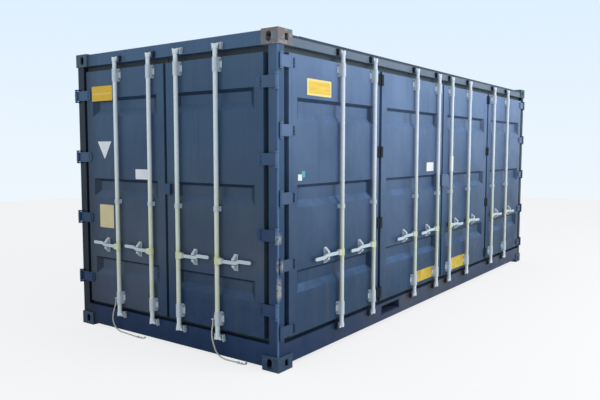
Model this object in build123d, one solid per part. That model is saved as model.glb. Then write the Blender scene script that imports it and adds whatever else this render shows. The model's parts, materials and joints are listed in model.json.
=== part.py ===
# Bunded storage container of ISO 20 ft size, with end doors and a full side of doors
#
# The container is drawn about the middle of the ground under its corner castings:
# +X runs along its length away from the door end, -Y is the side that opens, +Z is up.
# Door furniture stands proud of two faces, so save() moves every piece by half of that,
# and the origin lies under the middle of the overall box.
# Sizes are in millimetres.

from build123d import *
from math import tan, radians
import os

# Shell
LENGTH = 6058.0
WIDTH = 2438.0
HEIGHT = 2591.0
FRAME_SET = 11.0            # faces of posts and rails behind the casting faces
SECTION_WALL = 6.0

# Corner castings
CAST_LENGTH = 178.0
CAST_WIDTH = 162.0
CAST_HEIGHT = 118.0
CAST_WALL = 14.0
CAST_PLATE = 28.0
CAST_SLOT_LENGTH = 124.5
CAST_SLOT_WIDTH = 63.5
CAST_SLOT_FROM_END = 102.5
CAST_SLOT_FROM_SIDE = 89.5
CAST_HOLE_WIDTH = 51.0
CAST_HOLE_HEIGHT = 79.0

# Posts and rails
POST_END_FACE = 98.0        # post edge from the casting face, seen on the end
POST_SIDE_FACE = 88.0       # the same, seen on the side
STOP_THICK = 6.0
RAIL_DEPTH = 84.0
BACK_RAIL_DEPTH = 60.0
RAIL_UNDERSIDE = 42.0
SILL_UNDERSIDE = 24.0
HEADER_SET = 8.0            # top of the end rails below the casting tops
HEADER_FACE = 107.0
SIDE_RAIL_SET = 35.0        # top of the long rails below the casting tops
BACK_RAIL_FACE = 60.0
SILL_TOP = 206.0
SIDE_SILL_TOP = 210.0
BACK_SILL_TOP = 200.0
STOP_RISE = 60.0            # gasket stop above the sills
STOP_DROP = 76.0            # gasket stop below the header and side rail

# Doors
DOOR_SET = 6.0              # door faces behind the casting faces
DOOR_THICK = 50.0
DOOR_SHEET = 3.0
STILE = 60.0
DOOR_FOOT_GAP = 38.0        # doors above their sills
DOOR_HEAD_GAP = 54.0        # doors below the header and side rail
END_DOOR_EDGE = 144.0       # outer door edge from the casting face
END_DOOR_GAP = 30.0
SIDE_LEAF_EDGE = 140.0
SIDE_FOLD_PLACE = 1459.0    # fold line between two leaves, from the middle
SIDE_FOLD_GAP = 50.0
SIDE_GAP = 36.0
GASKET_THICK = 7.7
GASKET_LAP = 20.0
GASKET_CLEAR = 6.0          # gasket lips short of the posts and rails
GASKET_PART = 3.0           # half the space between gaskets of the side
GASKET_MEET = 10.0          # gasket lips past the edges where doors meet

# Pressed troughs in the doors
TROUGH_DEPTH = 36.0
TROUGH_TOP_SLOPE = 25.0
TROUGH_LOW_SLOPE = 58.0
TROUGH_END_SLOPE = 60.0
END_TROUGH_HEIGHT = 165.0
END_TROUGH_PITCH = 742.0
END_TROUGH_RISE = 11.0      # middle trough above the middle of the door
END_TROUGH_MARGIN = 88.0
SIDE_TROUGH_HEIGHT = 178.0
SIDE_TROUGH_PITCH = 670.0
SIDE_TROUGH_RISE = 2.0
SIDE_TROUGH_MARGIN = 106.0

# Locking bars and their cams
BAR_RADIUS = 18.5
BAR_OFFSET = 32.0           # bar axis in front of the door face
BAR_RUNNING = 0.5
END_BARS = [-616.0, -169.0, 169.0, 616.0]
SIDE_BARS = [-2175.0, -1622.0, -737.0, -184.0, 184.0, 737.0, 1622.0, 2175.0]
BAR_FOOT_LAP = 36.0         # bars over the sills
BAR_HEAD_LAP = 43.0         # bars over the header and side rail
COLLAR_RADIUS = 22.5
CAM_HEIGHT = 34.0
CAM_NOSE = 27.0
CAM_WIDTH = 30.0
FORK_HALF = 31.5
FORK_THICK = 10.0
FORK_TIP = 6.0              # fork prongs past the end of the bar
KEEPER_NEAR = 36.0          # prong from the bar axis at the door's side of the keeper
KEEPER_FAR = 44.0           # and at its other side
KEEPER_PRONG = 9.0
KEEPER_HEIGHT = 56.0
KEEPER_OUT = 16.0           # keeper prongs in front of the casting faces
KEEPER_STRIP = 14.0
KEEPER_PLATE = 4.0
KEEPER_HEAD_SET = 2.0       # keepers above the lower edge of the header

# Bar brackets and guides
BRACKET_WIDTH = 88.0
BRACKET_HEIGHT = 112.0
BRACKET_PLATE = 5.0
BRACKET_CORNER = 14.0
BRACKET_FROM_HEAD = 113.0   # upper brackets below the header and side rail
BRACKET_FROM_SILL = 130.0   # lower brackets above the sills
GUIDE_HEIGHT = 38.0
GUIDE_DROP = 117.0          # guides below the middle of the middle trough
SADDLE_STRAP = 5.5

# Handles
END_HANDLE_RISE = 125.0     # handles above the low trough
SIDE_HANDLE_RISE = 70.0
END_HANDLE_LENGTH = 355.0
SIDE_HANDLE_LENGTH = 400.0
END_HANDLE_JOG = 16.0       # free end of the handle above its hub
SIDE_HANDLE_JOG = -14.0
JOG_START = 18.0
JOG_RUN = 40.0
HANDLE_HEIGHT = 28.0
HANDLE_THICK = 10.0
HUB_REACH = 62.0
HUB_HEIGHT = 58.0
HUB_THICK = 28.0
HUB_NOSE = 34.0
HUB_PIN = 8.0
END_CATCH = 178.0
SIDE_CATCH = 216.0
CATCH_WIDTH = 40.0
CATCH_PRONG = 46.0
CATCH_CLEAR = 6.0

# Hinges
PIN_RADIUS = 8.0
PIN_RUNNING = 0.5
END_PIN_OUT = 10.0          # pin axis in front of the casting face
END_PIN_PLACE = 4.0         # pin axis from the casting's other face
END_KNUCKLE = 13.0
SIDE_PIN_OUT = 4.0
SIDE_PIN_PLACE = 34.0
SIDE_KNUCKLE = 11.0
BLADE_THICK = 8.0
BLADE_HEIGHT = 90.0
END_BLADE_LAP = 60.0
SIDE_BLADE_LAP = 40.0
BLADE_CORNER = 16.0
LUG_HEIGHT = 12.0
LUG_GAP = 5.0
END_HINGE_COUNT = 4
END_HINGE_FOOT = 228.0      # lowest hinge above the door's lower edge
END_HINGE_HEAD = 219.0      # highest hinge below the door's upper edge
SIDE_HINGE_COUNT = 5
SIDE_HINGE_FOOT = 57.0
SIDE_HINGE_HEAD = 67.0
FOLD_HINGE_COUNT = 4
FOLD_HINGE_FOOT = 89.0
FOLD_HINGE_HEAD = 77.0
FOLD_HINGE_LAP = 22.0
FOLD_HINGE_HEIGHT = 104.0
FOLD_HINGE_PIN = 10.0

# Lock boxes: left, right, height, depth, middle above the middle of the door
LOCK_SHEET = 4.0
END_LOCK = (20.0, 75.0, 90.0, 30.0, 30.0)
SIDE_LOCK = (-120.0, 40.0, 126.0, 56.0, 26.0)

# Hold-back ropes: points across, inward and up, seen on the door end
ROPE_RADIUS = 6.0
LEFT_ROPE = [(-676, -18, 318), (-676, -18, 280), (-700, -22, 218), (-720.5, -26, 150),
             (-717.5, -25, 86), (-685.5, -18, 34), (-629.5, -12, 9.5), (-564.5, -10, 6.5),
             (-499.5, -13, 6.5), (-441.5, -22, 6.5), (-383.5, -22, 6.5)]
RIGHT_ROPE = [(560, -20, 318), (560, -20, 282), (563, -38, 232), (568, -43, 172),
              (582.5, -36, 112), (594.5, -26, 60), (626.5, -12, 20), (682.5, -9, 6.5),
              (746.5, -6, 6.5), (806.5, -6, 6.5)]
ROPE_LUG_WIDTH = 18.0
ROPE_LUG_HEIGHT = 32.0
ROPE_LUG_SHELF = 8.0
HOOK_SOCKET = 22.0
HOOK_SHANK = 34.0
HOOK_RADIUS = 24.0
HOOK_BAR = 9.0
HOOK_GROUND = 0.5

# Base, bund and roof
POCKET_PLACE = -1202.0
POCKET_WIDTH = 366.0
POCKET_BOTTOM = 100.0
POCKET_TOP = 188.0
MEMBER_WIDTH = 46.0
MEMBER_BOTTOM = 66.0
MEMBER_PITCH = 330.0
FLOOR_BOTTOM = 194.0
FLOOR_THICK = 5.0
TRAY_HEIGHT = 150.0
TRAY_SHEET = 4.0
TRAY_CLEAR = 3.0
DECK_THICK = 30.0
DECK_BAR = 5.0
DECK_PANELS = 6
DECK_BARS = 18
DECK_CLEAR = 6.0
BEARER_HEIGHT = 60.0
BEARER_WIDTH = 50.0
WAVE_PITCH = 278.0
WAVE_DEPTH = 36.0
WAVE_SHEET = 2.0
ROOF_PITCH = 209.0
ROOF_DEPTH = 20.0
ROOF_BORDER = 110.0

# Worked out from the values above
HALF_L = LENGTH / 2
HALF_W = WIDTH / 2
HEADER_TOP = HEIGHT - HEADER_SET
HEADER_BOTTOM = HEADER_TOP - HEADER_FACE
SIDE_RAIL_TOP = HEIGHT - SIDE_RAIL_SET
BACK_RAIL_BOTTOM = SIDE_RAIL_TOP - BACK_RAIL_FACE
DOOR_TOP = HEADER_BOTTOM - DOOR_HEAD_GAP
END_DOOR_BOTTOM = SILL_TOP + DOOR_FOOT_GAP
SIDE_LEAF_BOTTOM = SIDE_SILL_TOP + DOOR_FOOT_GAP
STOP_SET = DOOR_SET + DOOR_THICK + GASKET_THICK + 0.3
BAR_SET = DOOR_SET - BAR_OFFSET
BAR_HEAD = HEADER_BOTTOM + BAR_HEAD_LAP
PROUD = BAR_RADIUS + SADDLE_STRAP - BAR_SET
PIN_PROUD = END_KNUCKLE - END_PIN_PLACE
POST_FOOT = CAST_HEIGHT
POST_HEAD = HEIGHT - CAST_HEIGHT
FLOOR_TOP = FLOOR_BOTTOM + FLOOR_THICK
TRAY_FLOOR = FLOOR_TOP + TRAY_SHEET
DECK_TOP = FLOOR_TOP + TRAY_HEIGHT


def block(x0, x1, y0, y1, z0, z1):
    """A box between two corners."""
    box = Box(x1 - x0, y1 - y0, z1 - z0)
    return Pos((x0 + x1) / 2, (y0 + y1) / 2, (z0 + z1) / 2) * box


def rod(x, y, z0, z1, radius):
    """An upright cylinder."""
    return Pos(x, y, (z0 + z1) / 2) * Cylinder(radius, z1 - z0)


def plate(outline, front, back):
    """A flat piece with an outline of (across, up) points, between two depths."""
    face = Plane.XZ * make_face(Polyline(*outline, close=True))
    return Pos(0, back, 0) * extrude(face, back - front)


def spaced(low, high, count):
    """Places evenly spaced from the lowest to the highest."""
    step = (high - low) / (count - 1)
    return [low + step * i for i in range(count)]


def on_end(piece):
    """From face sizes (across, inward, up) to the door end."""
    return Pos(-HALF_L, 0, 0) * Rot(0, 0, -90) * piece


def on_side(piece):
    """From face sizes (across, inward, up) to the side that opens."""
    return Pos(0, -HALF_W, 0) * piece


def on_back(piece):
    """From face sizes (across, inward, up) to the closed long side."""
    return Pos(0, HALF_W, 0) * Rot(0, 0, 180) * piece


def on_blind(piece):
    """From face sizes (across, inward, up) to the closed end."""
    return Pos(HALF_L, 0, 0) * Rot(0, 0, 90) * piece


def save(name, pieces):
    """Move the pieces to the origin under the overall box, and write them."""
    if not isinstance(pieces, list):
        pieces = [pieces]
    solids = []
    for piece in pieces:
        solids += piece.solids()
    moved = Pos(PROUD / 2, (PROUD - PIN_PROUD) / 2, 0) * Compound(children=solids)
    export_step(moved, "parts/" + name + ".step")


def casting():
    """One hollow bottom casting, its corner at zero and its slot facing down."""
    body = block(0, CAST_LENGTH, 0, CAST_WIDTH, 0, CAST_HEIGHT)
    body -= block(CAST_WALL, CAST_LENGTH - CAST_WALL, CAST_WALL, CAST_WIDTH - CAST_WALL,
                  CAST_PLATE, CAST_HEIGHT - CAST_WALL)
    slot = extrude(SlotOverall(CAST_SLOT_LENGTH, CAST_SLOT_WIDTH), CAST_PLATE * 2, both=True)
    body -= Pos(CAST_SLOT_FROM_END, CAST_SLOT_FROM_SIDE, 0) * slot
    hole = extrude(SlotOverall(CAST_HOLE_HEIGHT, CAST_HOLE_WIDTH), CAST_WALL * 1.5, both=True)
    body -= Pos(0, CAST_SLOT_FROM_SIDE, CAST_HEIGHT / 2) * Rot(0, 90, 0) * hole
    body -= Pos(CAST_SLOT_FROM_END, 0, CAST_HEIGHT / 2) * Rot(90, 90, 0) * hole
    return body


def castings(top):
    """The four castings of the base or of the roof."""
    corner = Pos(-HALF_L, -HALF_W, 0) * casting()
    if top:
        corner = Pos(0, 0, HEIGHT) * mirror(corner, about=Plane.XY)
    far = mirror(corner, about=Plane.YZ)
    return [corner, far, mirror(corner, about=Plane.XZ), mirror(far, about=Plane.XZ)]


def post(end_stop, side_stop):
    """A hollow corner post at the door end and door side, with its gasket stops."""
    across = POST_SIDE_FACE - FRAME_SET
    deep = POST_END_FACE - FRAME_SET
    low = (Align.MIN, Align.MIN)
    face = Pos(FRAME_SET, FRAME_SET) * Rectangle(across, deep, align=low)
    hollow = Pos(FRAME_SET + SECTION_WALL, FRAME_SET + SECTION_WALL) * Rectangle(
        across - 2 * SECTION_WALL, deep - 2 * SECTION_WALL, align=low)
    if end_stop:
        face += Pos(STOP_SET, POST_END_FACE) * Rectangle(
            STOP_THICK, CAST_WIDTH - POST_END_FACE, align=low)
    if side_stop:
        face += Pos(POST_SIDE_FACE, STOP_SET) * Rectangle(
            CAST_LENGTH - POST_SIDE_FACE, STOP_THICK, align=low)
    face -= hollow
    return Pos(-HALF_L, -HALF_W, POST_FOOT) * extrude(face, POST_HEAD - POST_FOOT)


def tube_rail(half, depth, bottom, top):
    """A hollow rail along a face, between minus and plus half."""
    rail = block(-half, half, FRAME_SET, FRAME_SET + depth, bottom, top)
    return rail - block(-half, half, FRAME_SET + SECTION_WALL, FRAME_SET + depth - SECTION_WALL,
                        bottom + SECTION_WALL, top - SECTION_WALL)


def stop_strip(half, bottom, top):
    """The strip that a row of gaskets closes on."""
    return block(-half, half, STOP_SET, STOP_SET + STOP_THICK, bottom, top)


def sill(half, post_edge, underside, top):
    """A hollow sill below a row of doors, with ears that reach the posts above the castings."""
    rail = tube_rail(half, RAIL_DEPTH, underside, top)
    rail += stop_strip(half, top, top + STOP_RISE)
    for side in (-1, 1):
        ends = sorted([side * half, side * post_edge])
        rail += block(ends[0], ends[1], FRAME_SET, STOP_SET, CAST_HEIGHT, top)
    return rail


def header(half, top):
    """A hollow header above a row of doors, with its gasket stop."""
    return tube_rail(half, RAIL_DEPTH, HEADER_BOTTOM, top) + stop_strip(
        half, HEADER_BOTTOM - STOP_DROP, HEADER_BOTTOM)


def pocket_cut():
    """The space of the fork pocket, right across the base."""
    return block(POCKET_PLACE - POCKET_WIDTH / 2, POCKET_PLACE + POCKET_WIDTH / 2,
                 -HALF_W - 1, HALF_W + 1, POCKET_BOTTOM, POCKET_TOP)


def pocket_tube():
    """The fork pocket itself, a flat box section between the long rails."""
    outer = block(POCKET_PLACE - POCKET_WIDTH / 2, POCKET_PLACE + POCKET_WIDTH / 2,
                  -HALF_W + FRAME_SET, HALF_W - FRAME_SET, POCKET_BOTTOM, POCKET_TOP)
    inner = block(POCKET_PLACE - POCKET_WIDTH / 2 + SECTION_WALL,
                  POCKET_PLACE + POCKET_WIDTH / 2 - SECTION_WALL,
                  -HALF_W, HALF_W, POCKET_BOTTOM + SECTION_WALL, POCKET_TOP - SECTION_WALL)
    return outer - inner


def wave_line(length, pitch, depth):
    """Points along a pressed sheet, from one end of its section to the other."""
    count = int(length // pitch)
    start = -count * pitch / 2
    slope = pitch * 0.18
    flat = pitch * 0.32
    line = [(-length / 2, 0)]
    for i in range(count):
        x = start + i * pitch
        line += [(x + flat / 2, 0), (x + flat / 2 + slope, depth)]
        line += [(x + pitch - flat / 2 - slope, depth), (x + pitch - flat / 2, 0)]
    line.append((length / 2, 0))
    return line


def wave_sheet(length, pitch, depth):
    """The section of a pressed sheet."""
    line = wave_line(length, pitch, depth)
    back = [(x, y + WAVE_SHEET) for x, y in reversed(line)]
    return make_face(Polyline(*line, *back, close=True))


def wall(half, corner_half, bottom, top):
    """A wall of upright pressings just inside the rails' faces, cut round the top castings."""
    section = wave_sheet(2 * half, WAVE_PITCH, WAVE_DEPTH)
    sheet = Pos(0, FRAME_SET + SECTION_WALL, bottom) * extrude(section, top - bottom)
    sheet -= block(-half, -corner_half, 0, CAST_WIDTH, POST_HEAD, top)
    return sheet - block(corner_half, half, 0, CAST_WIDTH, POST_HEAD, top)


def roof():
    """The roof: a flat border, ribs pressed across, and closed rib ends."""
    length = LENGTH - 2 * FRAME_SET - RAIL_DEPTH - BACK_RAIL_DEPTH
    half = HALF_W - FRAME_SET
    ribs_half = half - ROOF_BORDER
    section = wave_sheet(length, ROOF_PITCH, ROOF_DEPTH)
    sheet = Rot(90, 0, 0) * extrude(section, ribs_half, both=True)
    crest = [(x, y + WAVE_SHEET) for x, y in wave_line(length, ROOF_PITCH, ROOF_DEPTH)]
    closing = make_face(Polyline(*crest, (length / 2, 0), (-length / 2, 0), close=True))
    closing = Rot(90, 0, 0) * extrude(closing, WAVE_SHEET)
    for y in (-ribs_half, ribs_half + WAVE_SHEET):
        sheet += Pos(0, y, 0) * closing
    sheet += block(-length / 2, length / 2, -half, -ribs_half, 0, WAVE_SHEET)
    sheet += block(-length / 2, length / 2, ribs_half, half, 0, WAVE_SHEET)
    sheet = Pos((RAIL_DEPTH - BACK_RAIL_DEPTH) / 2, 0, SIDE_RAIL_TOP) * sheet
    for corner in castings(True):
        box = corner.bounding_box()
        sheet -= block(box.min.X, box.max.X, box.min.Y, box.max.Y, box.min.Z, box.max.Z)
    return sheet


def cross_members():
    """Channels across the base under the floor, clear of the fork pocket."""
    members = []
    reach = HALF_L - CAST_LENGTH - MEMBER_WIDTH
    count = int(2 * reach // MEMBER_PITCH) + 1
    for x in spaced(-reach, reach, count):
        if abs(x - POCKET_PLACE) < POCKET_WIDTH / 2 + MEMBER_WIDTH:
            continue
        left = x - MEMBER_WIDTH / 2
        right = x + MEMBER_WIDTH / 2
        member = block(left, right, -HALF_W + FRAME_SET + RAIL_DEPTH,
                       HALF_W - FRAME_SET - BACK_RAIL_DEPTH, MEMBER_BOTTOM, FLOOR_BOTTOM)
        member -= block(left + SECTION_WALL, right, -HALF_W, HALF_W,
                        MEMBER_BOTTOM + SECTION_WALL, FLOOR_BOTTOM - SECTION_WALL)
        members.append(member)
    return members


def floor_plate():
    """The steel floor inside the rails, cut round the posts."""
    sheet = block(-HALF_L + FRAME_SET + RAIL_DEPTH, HALF_L - FRAME_SET - BACK_RAIL_DEPTH,
                  -HALF_W + FRAME_SET + RAIL_DEPTH, HALF_W - FRAME_SET - BACK_RAIL_DEPTH,
                  FLOOR_BOTTOM, FLOOR_TOP)
    for side in (-1, 1):
        ends = sorted([side * HALF_W, side * (HALF_W - POST_END_FACE)])
        sheet -= block(HALF_L - POST_SIDE_FACE, HALF_L, ends[0], ends[1], FLOOR_BOTTOM, FLOOR_TOP)
    return sheet


def tray_half():
    """Half the length and half the width of the bund tray."""
    return (HALF_L - FRAME_SET - RAIL_DEPTH - TRAY_CLEAR, HALF_W - POST_END_FACE - TRAY_CLEAR)


def bund_tray():
    """The bund: a welded tray with upright sides, on the floor."""
    length, width = tray_half()
    tray = block(-length, length, -width, width, FLOOR_TOP, DECK_TOP)
    return tray - block(-length + TRAY_SHEET, length - TRAY_SHEET, -width + TRAY_SHEET,
                        width - TRAY_SHEET, TRAY_FLOOR, DECK_TOP)


def deck_places():
    """The edges along X of the deck panels."""
    length = tray_half()[0] - TRAY_SHEET - DECK_CLEAR
    return spaced(-length, length, DECK_PANELS + 1)


def deck_panels():
    """Open grid panels over the bund."""
    edges = deck_places()
    width = tray_half()[1] - TRAY_SHEET - DECK_CLEAR
    low = DECK_TOP - DECK_THICK
    panels = []
    for i in range(DECK_PANELS):
        x0 = edges[i] + DECK_CLEAR / 2
        x1 = edges[i + 1] - DECK_CLEAR / 2
        panel = block(x0, x1, -width, width, low, DECK_TOP)
        bays = DECK_BARS + 1
        clear = (2 * width - (DECK_BARS + 2) * DECK_BAR) / bays
        for j in range(bays):
            y0 = -width + DECK_BAR + j * (clear + DECK_BAR)
            panel -= block(x0 + DECK_BAR, x1 - DECK_BAR, y0, y0 + clear, low, DECK_TOP)
        panels.append(panel)
    return panels


def deck_bearers():
    """Bearers across the bund, on feet that let liquid run below them."""
    width = tray_half()[1] - TRAY_SHEET - DECK_CLEAR
    top = DECK_TOP - DECK_THICK
    half = BEARER_WIDTH / 2
    edges = deck_places()
    edges[0] += half
    edges[-1] -= half
    bearers = []
    for x in edges:
        bearer = block(x - half, x + half, -width, width, top - BEARER_HEIGHT, top)
        for y in (-width + BEARER_WIDTH, 0, width - BEARER_WIDTH):
            bearer += block(x - half, x + half, y - half, y + half, TRAY_FLOOR, top - BEARER_HEIGHT)
        bearers.append(bearer)
    return bearers


def trough_places(bottom, rise, pitch, height):
    """The lower and upper edges of three troughs, set about the middle of a door."""
    middle = (bottom + DOOR_TOP) / 2 + rise
    return [(middle + i * pitch - height / 2, middle + i * pitch + height / 2) for i in (1, 0, -1)]


def end_troughs():
    """The troughs of the end doors, from the top."""
    return trough_places(END_DOOR_BOTTOM, END_TROUGH_RISE, END_TROUGH_PITCH, END_TROUGH_HEIGHT)


def side_troughs():
    """The troughs of the side leaves, from the top."""
    return trough_places(SIDE_LEAF_BOTTOM, SIDE_TROUGH_RISE, SIDE_TROUGH_PITCH, SIDE_TROUGH_HEIGHT)


def trough(left, right, bottom, top, grow):
    """A pressed trough as a tapered solid, steep above and shallow below, grown for its skin."""
    wide = right - left + 2 * grow
    high = top - bottom + 2 * grow
    bed_high = high - TROUGH_TOP_SLOPE - TROUGH_LOW_SLOPE
    bed = Pos(0, (TROUGH_LOW_SLOPE - TROUGH_TOP_SLOPE) / 2) * Rectangle(wide - 2 * TROUGH_END_SLOPE, bed_high)
    deep = Plane.XZ.offset(-TROUGH_DEPTH - grow)
    solid = loft([Plane.XZ * Rectangle(wide, high), deep * bed])
    return Pos((left + right) / 2, DOOR_SET, (bottom + top) / 2) * solid


def leaf(left, right, bottom, troughs, margin):
    """A door leaf: a tube frame with a pressed sheet flush with its face."""
    back = DOOR_SET + DOOR_THICK
    low = bottom + STILE
    high = DOOR_TOP - STILE
    frame = block(left, right, DOOR_SET, back, bottom, DOOR_TOP)
    frame -= block(left + STILE, right - STILE, DOOR_SET, back, low, high)
    sheet = block(left + STILE, right - STILE, DOOR_SET, DOOR_SET + DOOR_SHEET, low, high)
    for z0, z1 in troughs:
        sheet += trough(left + margin, right - margin, z0, z1, DOOR_SHEET)
    for z0, z1 in troughs:
        sheet -= trough(left + margin, right - margin, z0, z1, 0)
    return frame + sheet


def gasket(left, right, bottom, left_lip, right_lip):
    """The rubber ring behind a leaf, with lips that reach past its edges."""
    front = DOOR_SET + DOOR_THICK
    back = front + GASKET_THICK
    low = bottom - DOOR_FOOT_GAP + GASKET_CLEAR
    high = DOOR_TOP + DOOR_HEAD_GAP - GASKET_CLEAR
    ring = block(left - left_lip, right + right_lip, front, back, low, high)
    return ring - block(left + GASKET_LAP, right - GASKET_LAP, front, back,
                        bottom + GASKET_LAP, DOOR_TOP - GASKET_LAP)


def saddle(t, z, height):
    """A bar guide on the door face, rounded in front and bored for the bar."""
    half = BAR_RADIUS + SADDLE_STRAP
    guide = rod(t, BAR_SET, z - height / 2, z + height / 2, half)
    guide += block(t - half, t + half, BAR_SET, DOOR_SET, z - height / 2, z + height / 2)
    return guide - rod(t, BAR_SET, z - height, z + height, BAR_RADIUS + BAR_RUNNING)


def bracket(t, z):
    """A bar bracket: a plate with cut corners under a long guide."""
    half = BRACKET_WIDTH / 2
    up = BRACKET_HEIGHT / 2
    cut = BRACKET_CORNER
    corners = [(half, up - cut), (half - cut, up), (cut - half, up), (-half, up - cut)]
    outline = corners + [(-x, -y) for x, y in corners]
    flange = Pos(t, 0, z) * plate(outline, DOOR_SET - BRACKET_PLATE, DOOR_SET)
    return flange + saddle(t, z, BRACKET_HEIGHT)


def bar_brackets(t, sill_top, troughs):
    """The two brackets and the guide of one bar."""
    guide = sum(troughs[1]) / 2 - GUIDE_DROP
    return [bracket(t, sill_top + BRACKET_FROM_SILL), bracket(t, HEADER_BOTTOM - BRACKET_FROM_HEAD),
            saddle(t, guide, GUIDE_HEIGHT)]


def catch(t, z):
    """A handle catch on the door face: a tapered prong above and one below the handle."""
    half = CATCH_WIDTH / 2
    clear = HANDLE_HEIGHT / 2 + CATCH_CLEAR
    face = DOOR_SET - BRACKET_PLATE
    front = BAR_SET - HANDLE_THICK
    tip = clear + CATCH_PRONG
    body = block(t - half, t + half, face, DOOR_SET, z - tip, z + tip)
    prong = make_face(Polyline((face, clear), (front, clear), (front, clear + 12), (face, tip), close=True))
    prong = extrude(Plane.YZ * prong, half * 0.7, both=True)
    body += Pos(t, 0, z) * prong
    return body + Pos(t, 0, z) * mirror(prong, about=Plane.XY)


def fork():
    """The splayed end of a bar below its collar, with the bar's end at zero."""
    half = [(COLLAR_RADIUS, CAM_HEIGHT), (COLLAR_RADIUS, CAM_HEIGHT - 8), (FORK_HALF, 10),
            (FORK_HALF, -FORK_TIP), (FORK_HALF - 11, -FORK_TIP), (12, 8)]
    outline = half + [(-x, y) for x, y in reversed(half)]
    return plate(outline, BAR_SET - FORK_THICK / 2, BAR_SET + FORK_THICK / 2)


def cam():
    """The end of a bar: a collar, a splayed fork and the nose that turns into the keeper."""
    body = rod(0, BAR_SET, 0, CAM_HEIGHT, COLLAR_RADIUS)
    body += fork()
    return body + block(-CAM_WIDTH / 2, CAM_WIDTH / 2, BAR_SET, BAR_SET + CAM_NOSE, 0, CAM_HEIGHT)


def hub(way):
    """The tapered hub that carries a handle, with its pin."""
    high = HUB_HEIGHT / 2
    nose = HUB_NOSE / 2
    outline = [(0, high), (way * HUB_REACH * 0.6, high - 4), (way * HUB_REACH, nose),
               (way * HUB_REACH, -nose), (way * HUB_REACH * 0.6, 4 - high), (0, -high)]
    body = plate(outline, BAR_SET - HUB_THICK / 2, BAR_SET + HUB_THICK / 2)
    body += rod(0, BAR_SET, -high, high, COLLAR_RADIUS)
    pin = Rot(90, 0, 0) * Cylinder(HUB_PIN, HUB_THICK + 8)
    return body + Pos(way * HUB_REACH * 0.72, BAR_SET, 0) * pin


def handle(way, length, jog, catch_place):
    """A flat handle with a jog past its catch and a round end."""
    half = HANDLE_HEIGHT / 2
    start = catch_place + JOG_START
    line = [(0, 0), (start, 0), (start + JOG_RUN, jog), (length - half, jog)]
    outline = [(way * x, y + half) for x, y in line]
    outline += [(way * x, y - half) for x, y in reversed(line)]
    body = plate(outline, BAR_SET - HANDLE_THICK / 2, BAR_SET + HANDLE_THICK / 2)
    end = Rot(90, 0, 0) * Cylinder(half, HANDLE_THICK)
    return body + Pos(way * (length - half), BAR_SET, jog) * end


def bar(t, foot, grip):
    """A locking bar with its cams, hub and handle, above the given foot."""
    piece = rod(0, BAR_SET, foot, BAR_HEAD, BAR_RADIUS)
    piece += Pos(0, 0, foot) * cam()
    piece += Pos(0, 0, BAR_HEAD) * mirror(cam(), about=Plane.XY)
    return Pos(t, 0, 0) * (piece + grip)


def keeper(t, near, far):
    """A cam keeper: two prongs that splay away from the door, on a strip beyond the cam."""
    body = None
    for side in (-1, 1):
        outline = [(side * KEEPER_NEAR, near), (side * (KEEPER_NEAR + KEEPER_PRONG), near),
                   (side * (KEEPER_FAR + KEEPER_PRONG), far), (side * KEEPER_FAR, far)]
        prong = plate(outline, -KEEPER_OUT, FRAME_SET)
        body = prong if body is None else body + prong
    levels = sorted([far, far + KEEPER_STRIP * (1 if near > far else -1)])
    half = KEEPER_FAR + KEEPER_PRONG
    body += block(-half, half, FRAME_SET - KEEPER_PLATE, FRAME_SET, levels[0], levels[1])
    return Pos(t, 0, 0) * body


def keepers(bars, sill_top):
    """The top and bottom keepers of a row of bars."""
    head = HEADER_BOTTOM + KEEPER_HEAD_SET
    row = []
    for t in bars:
        row.append(keeper(t, head, head + KEEPER_HEIGHT))
        row.append(keeper(t, sill_top, sill_top - KEEPER_HEIGHT))
    return row


def blade(pin, out, knuckle, tip, z):
    """A hinge blade from the knuckle at the pin over the post to its tip on the leaf."""
    way = 1 if tip > pin else -1
    up = BLADE_HEIGHT / 2
    cut = tip - way * BLADE_CORNER
    outline = [(pin, up), (cut, up), (tip, up - BLADE_CORNER), (tip, BLADE_CORNER - up), (cut, -up), (pin, -up)]
    body = plate(outline, DOOR_SET - BLADE_THICK, DOOR_SET)
    body += rod(pin, -out, -up, up, knuckle)
    body -= rod(pin, -out, -BLADE_HEIGHT, BLADE_HEIGHT, PIN_RADIUS + PIN_RUNNING)
    return Pos(0, 0, z) * body


def hinge_lug(pin, out, knuckle, way, z):
    """The post's part of a hinge: an ear above and below the blade, joined by the pin."""
    low = BLADE_HEIGHT / 2 + LUG_GAP
    high = low + LUG_HEIGHT
    lug = rod(pin, -out, -high, high, PIN_RADIUS)
    ends = sorted([pin - way * knuckle * 0.3, pin + way * knuckle * 2])
    for z0, z1 in ((-high, -low), (low, high)):
        lug += rod(pin, -out, z0, z1, knuckle)
        lug += block(ends[0], ends[1], -out, FRAME_SET, z0, z1)
    return Pos(0, 0, z) * lug


def fold_hinge(t, z):
    """A dark hinge across the fold between two side leaves."""
    half = SIDE_FOLD_GAP / 2 + FOLD_HINGE_LAP
    up = FOLD_HINGE_HEIGHT / 2
    body = block(t - half, t + half, DOOR_SET - BLADE_THICK, DOOR_SET, z - up, z + up)
    return body + rod(t, DOOR_SET - BLADE_THICK, z - up, z + up, FOLD_HINGE_PIN)


def lock_box(sizes, bottom):
    """A padlock shroud: a five-sided box open at the bottom."""
    left, right, height, depth, rise = sizes
    middle = (bottom + DOOR_TOP) / 2 + rise
    low = middle - height / 2
    high = middle + height / 2
    box = block(left, right, DOOR_SET - depth, DOOR_SET, low, high)
    return box - block(left + LOCK_SHEET, right - LOCK_SHEET, DOOR_SET - depth + LOCK_SHEET,
                       DOOR_SET - LOCK_SHEET, low, high - LOCK_SHEET)


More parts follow.
